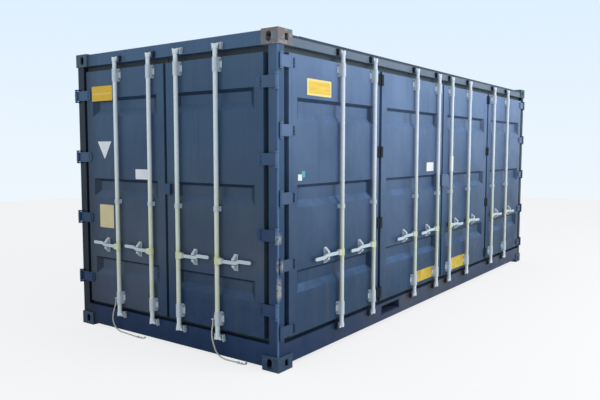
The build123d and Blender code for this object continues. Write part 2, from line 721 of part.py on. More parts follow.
def rope(points):
    """A rope as straight runs joined by arcs, as large as the runs allow."""
    corners = [Vector(*point) for point in points]
    radii = []
    for before, here, after in zip(corners, corners[1:], corners[2:]):
        turn = (here - before).get_angle(after - here)
        run = min((here - before).length, (after - here).length)
        radii.append(0.45 * run / tan(radians(turn / 2)))
    line = FilletPolyline(*corners, radius=radii)
    start = Plane(corners[0], z_dir=corners[1] - corners[0])
    tube = sweep(start * Circle(ROPE_RADIUS), path=line)
    print("rope: length %.0f, radii" % line.length, [round(radius) for radius in radii],
          "volume over section %.0f" % (tube.volume / (3.14159265 * ROPE_RADIUS ** 2)))
    return tube


def rope_lug(point):
    """The small angle on the door that a rope hangs from."""
    t, e, z = point
    half = ROPE_LUG_WIDTH / 2
    body = block(t - half, t + half, DOOR_SET - BRACKET_PLATE, DOOR_SET, z, z + ROPE_LUG_HEIGHT)
    return body + block(t - half, t + half, e - half, DOOR_SET, z, z + ROPE_LUG_SHELF)


def rope_hook(point):
    """The hook at the rope's end, flat on the ground."""
    t, e, z = point
    half = ROPE_RADIUS + 2
    socket = block(t, t + HOOK_SOCKET, e - half, e + half, HOOK_GROUND, z + half)
    shank = block(t + HOOK_SOCKET, t + HOOK_SOCKET + HOOK_SHANK, e - HOOK_BAR / 2, e + HOOK_BAR / 2,
                  HOOK_GROUND, HOOK_GROUND + HOOK_BAR)
    ring = Circle(HOOK_RADIUS) - Circle(HOOK_RADIUS - HOOK_BAR)
    ring -= Pos(-HOOK_RADIUS / 2, HOOK_RADIUS / 2) * Rectangle(HOOK_RADIUS, HOOK_RADIUS)
    middle = t + HOOK_SOCKET + HOOK_SHANK
    bend = Pos(middle, e + HOOK_RADIUS - HOOK_BAR / 2, HOOK_GROUND) * extrude(ring, HOOK_BAR)
    return socket + shank + bend


def side_leaf_edges():
    """The left and right edges of the four side leaves."""
    outer = HALF_L - SIDE_LEAF_EDGE
    fold = SIDE_FOLD_PLACE
    gap = SIDE_FOLD_GAP / 2
    middle = SIDE_GAP / 2
    return [(-outer, -fold - gap), (-fold + gap, -middle), (middle, fold - gap), (fold + gap, outer)]


def make_frame():
    """Castings, posts, rails, walls and roof."""
    save("bottom_castings", castings(False))
    save("top_castings", castings(True))
    near = post(True, True)
    door_back = mirror(post(True, False), about=Plane.XZ)
    blind_side = mirror(post(False, True), about=Plane.YZ)
    blind_back = mirror(mirror(post(False, False), about=Plane.YZ), about=Plane.XZ)
    save("corner_posts", [near, door_back, blind_side, blind_back])
    half_end = HALF_W - CAST_WIDTH
    half_side = HALF_L - CAST_LENGTH
    save("door_header", on_end(header(half_end, HEADER_TOP)))
    save("door_sill", on_end(sill(half_end, HALF_W - POST_END_FACE, SILL_UNDERSIDE, SILL_TOP)))
    save("side_top_rail", on_side(header(half_side, SIDE_RAIL_TOP)))
    low_rail = on_side(sill(half_side, HALF_L - POST_SIDE_FACE, RAIL_UNDERSIDE, SIDE_SILL_TOP)) - pocket_cut()
    save("side_bottom_rail", low_rail)
    back_top = tube_rail(half_side, BACK_RAIL_DEPTH, BACK_RAIL_BOTTOM, SIDE_RAIL_TOP)
    save("back_top_rail", on_back(back_top))
    back_low = tube_rail(half_side, BACK_RAIL_DEPTH, RAIL_UNDERSIDE, BACK_SILL_TOP)
    save("back_bottom_rail", on_back(back_low) - pocket_cut())
    blind_top = on_blind(tube_rail(half_end, BACK_RAIL_DEPTH, BACK_RAIL_BOTTOM, HEADER_TOP))
    blind_low = on_blind(tube_rail(half_end, BACK_RAIL_DEPTH, RAIL_UNDERSIDE, BACK_SILL_TOP))
    save("blind_end_rails", [blind_top, blind_low])
    back_wall = wall(HALF_L - POST_SIDE_FACE, half_side, BACK_SILL_TOP, BACK_RAIL_BOTTOM)
    save("back_wall", on_back(back_wall))
    end_wall = wall(HALF_W - POST_END_FACE, half_end, BACK_SILL_TOP, BACK_RAIL_BOTTOM)
    save("blind_end_wall", on_blind(end_wall))
    save("roof_panel", roof())


def make_base():
    """Cross members, fork pocket, floor, bund and deck."""
    save("cross_members", cross_members())
    save("fork_pocket", pocket_tube())
    save("floor_plate", floor_plate())
    save("bund_tray", bund_tray())
    save("deck_bearers", deck_bearers())
    save("grid_deck", deck_panels())


def make_end_door(name, way, points):
    """One end door with all that rides on it but its bars."""
    outer = HALF_W - END_DOOR_EDGE
    lip = END_DOOR_EDGE - POST_END_FACE - GASKET_CLEAR
    left, right = sorted([way * END_DOOR_GAP / 2, way * outer])
    lips = (lip, GASKET_MEET) if way < 0 else (GASKET_MEET, lip)
    troughs = end_troughs()
    save(name + "_door_leaf", on_end(leaf(left, right, END_DOOR_BOTTOM, troughs, END_TROUGH_MARGIN)))
    save(name + "_door_gasket", on_end(gasket(left, right, END_DOOR_BOTTOM, *lips)))
    pin = way * (HALF_W - END_PIN_PLACE)
    tip = way * (outer - END_BLADE_LAP)
    blades = [blade(pin, END_PIN_OUT, END_KNUCKLE, tip, z) for z in end_hinges()]
    save(name + "_door_hinges", [on_end(piece) for piece in blades])
    fittings = [rope_lug(points[0])]
    for t in END_BARS:
        if t * way > 0:
            fittings += bar_brackets(t, SILL_TOP, troughs)
            fittings.append(catch(t + way * END_CATCH, troughs[2][1] + END_HANDLE_RISE))
    save(name + "_door_brackets", [on_end(piece) for piece in fittings])
    save(name + "_rope", on_end(rope(points)))
    save(name + "_rope_hook", on_end(rope_hook(points[-1])))


def end_hinges():
    """The heights of the end doors' hinges."""
    return spaced(END_DOOR_BOTTOM + END_HINGE_FOOT, DOOR_TOP - END_HINGE_HEAD, END_HINGE_COUNT)


def make_end_doors():
    """The two end doors, and what the posts and rails carry for them."""
    make_end_door("left", -1, LEFT_ROPE)
    make_end_door("right", 1, RIGHT_ROPE)
    save("end_lock_box", on_end(lock_box(END_LOCK, END_DOOR_BOTTOM)))
    lugs = []
    for way in (-1, 1):
        pin = way * (HALF_W - END_PIN_PLACE)
        lugs += [hinge_lug(pin, END_PIN_OUT, END_KNUCKLE, -way, z) for z in end_hinges()]
    save("end_hinge_lugs", [on_end(piece) for piece in lugs])
    save("end_keepers", [on_end(piece) for piece in keepers(END_BARS, SILL_TOP)])
    handle_z = end_troughs()[2][1] + END_HANDLE_RISE
    for number, t in enumerate(END_BARS, 1):
        way = -1 if t < 0 else 1
        grip = hub(way) + handle(way, END_HANDLE_LENGTH, END_HANDLE_JOG, END_CATCH)
        piece = bar(t, SILL_TOP - BAR_FOOT_LAP, Pos(0, 0, handle_z) * grip)
        save("end_bar_%d" % number, on_end(piece))


def make_side_leaves():
    """The four side leaves and their gaskets."""
    edges = side_leaf_edges()
    outer_lip = SIDE_LEAF_EDGE - POST_SIDE_FACE - GASKET_CLEAR
    fold_lip = SIDE_FOLD_GAP / 2 - GASKET_PART
    middle_lip = SIDE_GAP / 2 - GASKET_PART
    lips = [(outer_lip, fold_lip), (fold_lip, middle_lip), (middle_lip, fold_lip), (fold_lip, outer_lip)]
    rings = []
    for number, (left, right) in enumerate(edges, 1):
        door = leaf(left, right, SIDE_LEAF_BOTTOM, side_troughs(), SIDE_TROUGH_MARGIN)
        save("side_leaf_%d" % number, on_side(door))
        rings.append(on_side(gasket(left, right, SIDE_LEAF_BOTTOM, *lips[number - 1])))
    save("side_gaskets", rings)


def make_side_hinges():
    """The blades and lugs of the outer leaves, and the hinges across the folds."""
    heights = spaced(SIDE_LEAF_BOTTOM + SIDE_HINGE_FOOT, DOOR_TOP - SIDE_HINGE_HEAD, SIDE_HINGE_COUNT)
    blades = []
    lugs = []
    for way in (-1, 1):
        pin = way * (HALF_L - SIDE_PIN_PLACE)
        tip = way * (HALF_L - SIDE_LEAF_EDGE - SIDE_BLADE_LAP)
        for z in heights:
            blades.append(on_side(blade(pin, SIDE_PIN_OUT, SIDE_KNUCKLE, tip, z)))
            lugs.append(on_side(hinge_lug(pin, SIDE_PIN_OUT, SIDE_KNUCKLE, -way, z)))
    save("side_hinge_blades", blades)
    save("side_hinge_lugs", lugs)
    heights = spaced(SIDE_LEAF_BOTTOM + FOLD_HINGE_FOOT, DOOR_TOP - FOLD_HINGE_HEAD, FOLD_HINGE_COUNT)
    folds = [fold_hinge(way * SIDE_FOLD_PLACE, z) for way in (-1, 1) for z in heights]
    save("side_fold_hinges", [on_side(piece) for piece in folds])


def make_side_fittings():
    """The brackets, catches, lock box, keepers and bars of the side."""
    troughs = side_troughs()
    handle_z = troughs[2][1] + SIDE_HANDLE_RISE
    fittings = []
    for t in SIDE_BARS:
        way = -1 if t < 0 else 1
        fittings += bar_brackets(t, SIDE_SILL_TOP, troughs)
        fittings.append(catch(t + way * SIDE_CATCH, handle_z))
    save("side_brackets", [on_side(piece) for piece in fittings])
    save("side_lock_box", on_side(lock_box(SIDE_LOCK, SIDE_LEAF_BOTTOM)))
    save("side_keepers", [on_side(piece) for piece in keepers(SIDE_BARS, SIDE_SILL_TOP)])
    for number, t in enumerate(SIDE_BARS, 1):
        way = -1 if t < 0 else 1
        grip = hub(way) + handle(way, SIDE_HANDLE_LENGTH, SIDE_HANDLE_JOG, SIDE_CATCH)
        piece = bar(t, SIDE_SILL_TOP - BAR_FOOT_LAP, Pos(0, 0, handle_z) * grip)
        save("side_bar_%d" % number, on_side(piece))


os.makedirs("parts", exist_ok=True)
make_frame()
make_base()
make_end_doors()
make_side_leaves()
make_side_hinges()
make_side_fittings()
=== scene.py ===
import json
import math

import bmesh
import bpy
from mathutils import Matrix, Vector


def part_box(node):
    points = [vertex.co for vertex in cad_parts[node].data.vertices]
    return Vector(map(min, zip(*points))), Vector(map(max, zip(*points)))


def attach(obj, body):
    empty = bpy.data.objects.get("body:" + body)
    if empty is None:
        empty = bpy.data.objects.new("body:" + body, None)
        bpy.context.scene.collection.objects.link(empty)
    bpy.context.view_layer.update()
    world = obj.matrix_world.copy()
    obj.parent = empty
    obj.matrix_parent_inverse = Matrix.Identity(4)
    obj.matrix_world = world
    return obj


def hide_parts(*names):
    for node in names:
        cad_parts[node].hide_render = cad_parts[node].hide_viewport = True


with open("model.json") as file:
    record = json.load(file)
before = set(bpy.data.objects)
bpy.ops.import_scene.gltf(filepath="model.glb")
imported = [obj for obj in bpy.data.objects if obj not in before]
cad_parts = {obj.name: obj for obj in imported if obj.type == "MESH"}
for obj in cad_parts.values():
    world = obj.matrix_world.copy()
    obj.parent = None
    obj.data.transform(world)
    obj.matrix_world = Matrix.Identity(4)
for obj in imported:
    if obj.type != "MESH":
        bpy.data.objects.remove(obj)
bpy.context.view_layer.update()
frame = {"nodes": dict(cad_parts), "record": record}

bl_info = {
    "name": "Bunded storage container",
    "version": (1, 0, 0),
    "blender": (4, 5, 0),
    "location": "3D View > Sidebar > Bunded store",
    "description": "Dresses a steel container store with finishes, fixings, plates, ropes and a studio",
    "category": "Object",
}

# Places read from the frame, in metres
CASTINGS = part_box("bottom_castings")
END_PLANE = CASTINGS[0].x
SIDE_PLANE = CASTINGS[0].y
LEFT_EDGE = CASTINGS[1].y
FAR_END = CASTINGS[1].x
MIDDLE = (CASTINGS[0] + CASTINGS[1]) / 2
END_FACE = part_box("left_door_leaf")[0].x
SIDE_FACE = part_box("side_leaf_1")[0].y
END_BARS = ["end_bar_%d" % number for number in range(1, 5)]
SIDE_BARS = ["side_bar_%d" % number for number in range(1, 9)]
BAR_AXES = {joint["child"]: Vector(joint["pos_m"]) for joint in frame["record"]["behaviour"]["joints"]}
END_WAY = (-1, 0, 0)
SIDE_WAY = (0, -1, 0)

# Sizes of the container, in metres
FRAME_SET = 0.011           # posts and rails lie this far behind the castings' faces
FOLD_PLACE = 1.459          # fold lines of the side leaves, from the middle
HUB_HEIGHT = 0.815          # middle of the bars' hubs
PAINT_LOW, PAINT_HIGH = 0.1, 2.5        # the paint's colour runs between these heights, darker low down as painted shade
FILM = 0.0012               # thickness of a sticker or thin plate
LABEL_REACH = 0.0235        # from a bar's axis to the label round it
BRACKET_HALF, BLADE_HALF = 0.056, 0.045         # half heights of a bar bracket and a hinge blade
BRACKET_OUT, BLADE_OUT = 0.005, 0.008           # their faces lie this far out of the leaves
BRACKET_BOLT_UP, BRACKET_BOLT_ASIDE = 0.036, 0.034  # bolts of a bracket, from its middle
BLADE_BOLT_STEP = 0.026     # between two bolts of a blade
SIDE_BLADE_BOLTS, END_BLADE_BOLTS = 0.184, 0.180    # bolts of a blade, from the outer edge of the hinges

# The ropes: strands, points round a section, and lengths in rope diameters
ROPE_STRANDS = 3
ROPE_SIDES = 24
ROPE_LAY = 3.2              # along the rope, for each strand
ROPE_STEP = 0.22            # between two sections
ROPE_VALLEY = 0.80          # reach of the section between two strands, against 1 on a strand

# Colours of painted shade and dark patches, and of the bars' hubs and handles
SHADE_AND_MARK_DARK = (0.010, 0.016, 0.022)
PAINTED_EDGE_SHADE = (0.006, 0.010, 0.013)
HUB_YELLOW = (0.60, 0.64, 0.36)
HANDLE_BLUE = (0.50, 0.585, 0.65)

# The studio
SKY_LOW_AT, SKY_HIGH_AT = -0.06, 0.24   # rise of a ray, as a part of its length, at the backdrop's colours
DOME_COLOUR = (0.93, 0.97, 1.0, 1.0)
FLOOR_GLOW = 1.105          # strength of the floor's own colour
FLOOR_SHARE = 0.78          # how much of it the camera sees, against the floor in light and shadow
FLOOR_DROP = 0.0005         # the floor lies this far under the part

# The camera, from the fit of the container's corners to the picture
CAMERA_PLACE = Vector((-6.6581, -4.0385, 1.6964))
CAMERA_HEADING = math.radians(35.8560)
CAMERA_RISE = math.radians(-4.5937)
CAMERA_ROLL = math.radians(0.0523)
CAMERA_LENS = 37.513


def colour_setting(name, description, default):
    """A colour that the panel can change."""
    return bpy.props.FloatVectorProperty(
        name=name, description=description, default=default, subtype="COLOR", size=3, min=0.0, max=1.0)


def length_setting(name, description, default, least):
    """A length that the panel can change."""
    return bpy.props.FloatProperty(
        name=name, description=description, default=default, min=least, unit="LENGTH")


class StoreStudio(bpy.types.PropertyGroup):
    """The plain floor, the pale backdrop and the soft lamps."""

    floor_radius: length_setting("Floor radius", "Radius of the round floor", 16.3, 8.0)
    floor_colour: colour_setting("Floor colour", "Colour of the floor", (0.89, 0.89, 0.90))
    sky_low: colour_setting(
        "Backdrop at the floor", "Backdrop colour near the floor's edge", (0.86, 0.93, 0.99))
    sky_high: colour_setting("Backdrop above", "Backdrop colour high up", (0.73, 0.87, 1.0))
    dome: bpy.props.FloatProperty(
        name="Dome strength", description="Strength of the soft light from all round", default=0.62, min=0.0)
    key_power: bpy.props.FloatProperty(
        name="Side lamp", description="Power of the large lamp in front of the long side", default=620.0,
        min=0.0, unit="POWER")
    fill_power: bpy.props.FloatProperty(
        name="End lamp", description="Power of the large lamp in front of the door end", default=90.0,
        min=0.0, unit="POWER")


class StorePaint(bpy.types.PropertyGroup):
    """The navy paint, what weather has done to it, and the light and shade painted into its colours."""

    end_upper: colour_setting(
        "End doors, upper colour", "Paint of the end doors near the roof", (0.050, 0.102, 0.178))
    end_lower: colour_setting(
        "End doors, lower colour", "Paint of the end doors near the ground", (0.005, 0.026, 0.082))
    # The side leaves' colours are paler than the end doors' as painted light, for the brighter long side.
    side_upper: colour_setting(
        "Side leaves, upper colour", "Sun-faded paint of the side leaves near the roof",
        (0.142, 0.224, 0.395))
    side_lower: colour_setting(
        "Side leaves, lower colour", "Paint of the side leaves near the ground", (0.012, 0.043, 0.098))
    frame_upper: colour_setting(
        "Frame, upper colour", "Paint of the posts and header near the roof", (0.058, 0.118, 0.215))
    frame_lower: colour_setting(
        "Frame, lower colour", "Paint of the posts and sill near the ground", (0.004, 0.024, 0.080))
    # The top rail's pale colour is painted light, as on the side leaves.
    rail_upper: colour_setting("Rails, upper colour", "Faded paint of the top rail", (0.135, 0.182, 0.248))
    rail_lower: colour_setting("Rails, lower colour", "Paint of the bottom rail", (0.005, 0.026, 0.082))
    dust: colour_setting("Dust colour", "Dust and dried run-off on the paint", (0.135, 0.140, 0.135))
    rust: colour_setting("Rust colour", "Rust where the paint is worn through", (0.160, 0.070, 0.034))
    primer: colour_setting("Scuffed colour", "Pale colour of scuffed edges", (0.330, 0.330, 0.320))
    roughness: bpy.props.FloatProperty(
        name="Roughness", description="Roughness of clean paint", default=0.36, min=0.0, max=1.0)


class StoreFixings(bpy.types.PropertyGroup):
    """Bolts, rivets and weld beads."""

    bolt_size: length_setting("Bolt head", "Radius of a bolt's head", 0.0085, 0.001)
    bolt_height: length_setting("Bolt height", "Height of a bolt's head", 0.0055, 0.001)
    rivet_size: length_setting("Rivet head", "Radius of a rivet's head", 0.0045, 0.001)
    weld_size: length_setting("Weld size", "Radius of a weld bead", 0.0035, 0.001)
    weld_step: length_setting("Weld ripple", "Distance between two ripples of a weld", 0.006, 0.002)


class StoreGrating(bpy.types.PropertyGroup):
    """The open grating over the bund."""

    bar_pitch: length_setting("Bar pitch", "Distance between two bearing bars", 0.034, 0.01)
    rod_pitch: length_setting("Rod pitch", "Distance between two cross rods", 0.076, 0.02)
    bar_thick: length_setting("Bar thickness", "Thickness of a bearing bar", 0.004, 0.001)
    rod_size: length_setting("Rod size", "Thickness of a cross rod", 0.006, 0.001)


class StoreRopes(bpy.types.PropertyGroup):
    """The ropes that hold the end doors open."""

    diameter: length_setting("Rope diameter", "Diameter of a hold-back rope", 0.012, 0.004)


class Value:
    """One output of a node. A sum of values adds a Math node to their tree."""

    def __init__(self, nodes, socket):
        self.nodes = nodes
        self.socket = socket

    def part(self, name):
        """Another output of the same node."""
        return Value(self.nodes, self.socket.node.outputs[name])

    def math(self, kind, other=0.0):
        """One sum of this value and another."""
        return self.nodes.put("ShaderNodeMath", {0: self, 1: other}, operation=kind)

    def __add__(self, other):
        return self.math("ADD", other)

    __radd__ = __add__

    def __sub__(self, other):
        return self.math("SUBTRACT", other)

    def __mul__(self, other):
        return self.math("MULTIPLY", other)

    def __truediv__(self, other):
        return self.math("DIVIDE", other)

    def __abs__(self):
        return self.math("ABSOLUTE")

    def most(self, other):
        """The larger of two values."""
        return self.math("MAXIMUM", other)

    def least(self, other):
        """The smaller of two values."""
        return self.math("MINIMUM", other)

    def spread(self, low, high, bottom=0.0, top=1.0):
        """The value between low and high taken to between bottom and top, and held there."""
        return self.nodes.put("ShaderNodeMapRange", {
            "Value": self, "From Min": low, "From Max": high, "To Min": bottom, "To Max": top})

    def between(self, bottom, top):
        """A value from nought to one taken to between bottom and top."""
        return self.spread(0.0, 1.0, bottom, top)


class Nodes:
    """A node tree, empty at first, that nodes are put in."""

    def __init__(self, tree):
        self.tree = tree
        tree.nodes.clear()

    def feed(self, node, inputs):
        """Set or link a node's inputs. A list links several values to one input."""
        for key, given in inputs.items():
            for value in given if isinstance(given, list) else [given]:
                if isinstance(value, Value):
                    self.tree.links.new(value.socket, node.inputs[key])
                else:
                    node.inputs[key].default_value = value

    def put(self, kind, inputs=None, out=0, **settings):
        """Add one node, with its settings made and its inputs fed, and give one of its outputs."""
        node = self.tree.nodes.new(kind)
        for name, value in settings.items():
            setattr(node, name, value)
        self.feed(node, inputs or {})
        return Value(self, node.outputs[out]) if node.outputs else None

    def split(self, vector):
        """The three parts of a vector."""
        parts = self.put("ShaderNodeSeparateXYZ", {"Vector": vector})
        return [parts.part(axis) for axis in "XYZ"]

    def blend(self, share, first, second):
        """One colour mixed into another by a share."""
        colours = [colour if isinstance(colour, Value) else (*colour, 1.0) for colour in (first, second)]
        return self.put("ShaderNodeMix", {"Factor": share, 6: colours[0], 7: colours[1]}, 2, data_type="RGBA")


class Coat(Nodes):
    """A material in the making, with the object coordinates of its points."""

    def __init__(self, name):
        self.material = bpy.data.materials.new(name)
        self.material.use_nodes = True
        super().__init__(self.material.node_tree)
        shader = self.put("ShaderNodeBsdfPrincipled")
        self.surface = shader.socket.node
        self.put("ShaderNodeOutputMaterial", {"Surface": shader})
        self.places = self.put("ShaderNodeTexCoord", out="Object")
        self.x, self.y, self.z = self.split(self.places)
        self.colour = None

    def noise(self, scale, detail=3.0, rough=0.55, stretch=None):
        """A noise value at object coordinates, stretched if asked."""
        places = self.places
        if stretch:
            places = self.put("ShaderNodeMapping", {"Vector": places, "Scale": stretch})
        return self.put("ShaderNodeTexNoise", {
            "Vector": places, "Scale": scale, "Detail": detail, "Roughness": rough})

    def worn_edges(self, radius):
        """A value that is high where a surface turns within the radius."""
        soft = self.put("ShaderNodeBevel", {"Radius": radius}, samples=4)
        hard = self.put("ShaderNodeNewGeometry", out="Normal")
        along = self.put("ShaderNodeVectorMath", {0: soft, 1: hard}, "Value", operation="DOT_PRODUCT")
        return along.spread(0.995, 0.86)

    def over(self, share, colour):
        """Lay a colour over the coat's own by a share."""
        self.colour = self.blend(share, self.colour, colour)

    def done(self, rough, layers, specular=0.5, metal=0.0):
        """The material with its surface fed, and bumped by chained layers of (height value, distance)."""
        inputs = {"Base Color": self.colour, "Roughness": rough, "Specular IOR Level": specular,
                  "Metallic": metal}
        below = {}
        for height, distance in layers:
            below["Normal"] = self.put("ShaderNodeBump", {
                "Height": height, "Distance": distance, "Strength": 1.0, **below})
        self.feed(self.surface, {**inputs, **below})
        return self.material


def scaled(colour, share):
    """A colour made darker or paler."""
    return [part * share for part in colour]


def near_post(coat, end, side):
    """One at the post between the two door faces. It fades between two distances from each outer plane."""
    return (coat.x.spread(END_PLANE + end[0], END_PLANE + end[1])
            * coat.y.spread(SIDE_PLANE + side[0], SIDE_PLANE + side[1]))


def far_shade(coat):
    """A value that rises towards the two outer edges of the door faces, where the paint is darkened as
    painted shade.
    """
    at_end = coat.x.spread(END_PLANE + 0.20, END_PLANE + 0.15)
    at_side = coat.y.spread(SIDE_PLANE + 0.20, SIDE_PLANE + 0.15)
    end = at_end * coat.y.spread(LEFT_EDGE - 0.30, LEFT_EDGE - 0.09)
    return end.most(at_side * coat.x.spread(FAR_END - 0.12, FAR_END - 0.08))


def scuffs(coat):
    """A value that is high at the scuffed places along the near post's corner."""
    places = ((1.03, 0.05), (0.82, 0.05), (0.64, 0.10))
    total = sum(abs(coat.z - height).spread(reach, reach * 0.4) for height, reach in places)
    edge = near_post(coat, (0.060, 0.040), (0.030, 0.020))
    return total * edge * coat.noise(26.0, 5.0, 0.7).spread(0.40, 0.52)


def corner_highlight(coat):
    """A value that is high along the upright corner edge of the near post, where a painted highlight runs."""
    return near_post(coat, (0.026, 0.016), (0.026, 0.016))


def trough_painted_light(coat, lower, upper):
    """Painted shade under the troughs' top edges and at their ends, and a paler painted sky reflection on
    their lower slopes, chosen by the way each face turns.
    """
    x, y, z = coat.split(coat.put("ShaderNodeTexCoord", out="Normal"))
    dark = z.spread(-0.35, -0.70, 0.0, 0.70).most(abs(x * y).spread(0.2, 0.4, 0.0, 0.55))
    coat.over(dark, scaled(lower, 0.35))
    lit = z.spread(0.25, 0.48) * coat.noise(4.0, 5.0, 0.6).spread(0.42, 0.70, 0.03, 0.28)
    coat.over(lit, [part * share for part, share in zip(upper, (0.9, 1.2, 1.5))])


def navy_paint(name, paint, upper, lower, wear, dusty=0.16, waves=0.0022, patch=None, bend=1.0,
               shade=0.72, pressed=False, shade_and_marks=()):
    """Semi-gloss navy paint: paler high up, darker low down as painted shade for the dark ground's
    reflection, dusty low down, streaked, and worn along its edges. patch gives a share of more dust from the
    coat's places, shade_and_marks give darker places and painted shade, bend curves the height gradient, and
    shade darkens the outer edges as painted shade."""
    coat = Coat(name)
    blotches = coat.noise(1.3, 4.0)
    # Height gradient: darker towards the ground as painted shade, standing for the dark ground's reflection.
    rise = coat.z.spread(PAINT_LOW, PAINT_HIGH) + blotches.spread(0.3, 0.7, -0.14, 0.14)
    coat.colour = coat.blend(rise.most(0.0).math("POWER", bend), lower, upper)
    pale_runs = coat.noise(1.0, 5.0, 0.6, (11.0, 11.0, 0.45)).spread(0.52, 0.80, 0.0, dusty)
    coat.over(pale_runs, paint.dust)
    dark_runs = coat.noise(1.7, 5.0, 0.6, (14.0, 14.0, 0.5)).spread(0.55, 0.78, 0.0, 0.30)
    coat.over(dark_runs, lower)
    splashed = coat.z.spread(1.3, 0.0) * coat.noise(7.0, 7.0, 0.7).spread(0.42, 0.72)
    coat.over(splashed * (dusty * 0.8), paint.dust)
    for mark in shade_and_marks:
        # Darker places: painted shade along the top rail, and dark patches round the bars' feet.
        coat.over(mark(coat), SHADE_AND_MARK_DARK)
    if patch:
        coat.over(patch(coat) * blotches.spread(0.25, 0.6, 0.5, 1.0), paint.dust)
    patches = coat.noise(14.0, 6.0, 0.7).spread(0.62 - wear * 0.25, 0.72 - wear * 0.25)
    scuffed = coat.worn_edges(0.004) * patches * 0.5
    if pressed:
        # Painted shade and painted sky reflection on the troughs.
        trough_painted_light(coat, lower, upper)
    else:
        # A painted highlight down the near post's corner edge.
        coat.over(corner_highlight(coat) * 0.55, scaled(upper, 2.0))
        scuffed = scuffed.most(scuffs(coat) * 0.95)
    coat.over(scuffed, paint.primer)
    pits = coat.noise(23.0, 8.0, 0.75).spread(0.77 - wear * 0.12, 0.80 - wear * 0.12)
    coat.over(pits * 0.85, paint.rust)
    # Darken the outer edges of the door faces as painted shade.
    coat.over(far_shade(coat) * shade, PAINTED_EDGE_SHADE)
    gloss = coat.noise(3.1, 4.0).spread(0.3, 0.7, paint.roughness - 0.05, paint.roughness + 0.07)
    layers = [(coat.noise(2.4, 2.0), waves * 10), (coat.noise(240.0, 2.0), 0.0003), (pits * -1.0, 0.0006)]
    return coat.done(gloss + (splashed * 0.22 + pits * 0.3), layers, specular=0.20)


def door_dust(coat):
    """Grey dust on the middle height of both end doors, and down to the foot of the left one."""
    low = coat.y.spread(MIDDLE.y, MIDDLE.y + 0.25).most(coat.z.spread(0.45, 0.85))
    return low * coat.z.spread(1.75, 1.15, 0.0, 0.30)


def rail_dust(coat):
    """Dried mud on the middle of the bottom rail, and less of it towards the ends."""
    along = abs(coat.x + 0.4).spread(1.5, 0.4, 0.12, 0.26) * coat.x.spread(-2.9, -1.6)
    return along * coat.z.spread(0.4, 0.3)


def casting_paint(name):
    """Navy paint on cast corners with pale rubbed edges. The near top one is worn to grey and rust."""
    coat = Coat(name)
    # Darker towards the ground as painted shade, as on the navy paint.
    rise = coat.z.spread(PAINT_LOW, PAINT_HIGH)
    coat.colour = coat.blend(rise, (0.015, 0.046, 0.098), (0.040, 0.078, 0.120))
    mottle = coat.noise(21.0, 5.0, 0.6).spread(0.42, 0.66, 0.0, 0.5)
    coat.over(mottle, (0.055, 0.085, 0.105))
    rubbed = coat.worn_edges(0.010) * coat.noise(9.0, 6.0, 0.65).spread(0.40, 0.56, 0.0, 0.6)
    coat.over(rubbed, (0.115, 0.165, 0.200))
    bare = near_post(coat, (0.30, 0.25), (0.30, 0.25)) * coat.z.spread(1.9, 2.2, 0.0, 0.92)
    patches = coat.noise(15.0, 6.0, 0.68).spread(0.44, 0.60)
    worn = coat.blend(patches, (0.165, 0.200, 0.245), (0.235, 0.160, 0.130))
    worn = coat.blend(coat.noise(24.0, 5.0, 0.6).spread(0.54, 0.64, 0.0, 0.7), worn, (0.38, 0.39, 0.38))
    layers = [(coat.noise(46.0, 5.0, 0.6), 0.0012), (patches * -1.0, 0.0006)]
    coat.over(bare, worn)
    return coat.done(bare.between(0.45, 0.80), layers, specular=0.30)


def from_bars(value, middle, axes):
    """The distance along a face to the nearest of its bars, which lie evenly about its middle."""
    away = abs(value - middle)
    places = sorted({round(abs(axis - middle), 3) for axis in axes})
    nearest, *others = [abs(away - place) for place in places]
    for other in others:
        nearest = nearest.least(other)
    return nearest


def end_reach(coat):
    """How far a point on the door end lies from the nearest bar."""
    return from_bars(coat.y, MIDDLE.y, [BAR_AXES[bar].y for bar in END_BARS])


def side_reach(coat):
    """How far a point on the door side lies from the nearest bar."""
    return from_bars(coat.x, MIDDLE.x, [BAR_AXES[bar].x for bar in SIDE_BARS])


def above(low, high, most=1.0):
    """A mask that rises with height, from nothing at low to its most at high."""
    return lambda coat: coat.z.spread(low, high, 0.0, most)


top_strip = above(2.40, 2.42)           # rubber above the doors in its own colour, paler on the side as a painted reflection of the ground
# Painted shade: a dark line along the upper edge of the side's top rail.
rail_top_shade = above(2.536, 2.541, 0.8)     # the dark line along the upper edge of the side's top rail
upper_keepers = above(1.3, 1.4)         # keepers above the doors


def foot_dark_patches(coat):
    """Dark patches on the bottom rail round the feet of the bars, most of them beyond the first two."""
    ragged = side_reach(coat) + coat.noise(16.0, 5.0).spread(0.3, 0.7, -0.03, 0.03)
    near_foot = ragged.spread(0.150, 0.095) * coat.z.spread(0.11, 0.15) * coat.z.spread(0.30, 0.25)
    return near_foot * coat.x.spread(-1.6, -1.2, 0.25, 0.95)


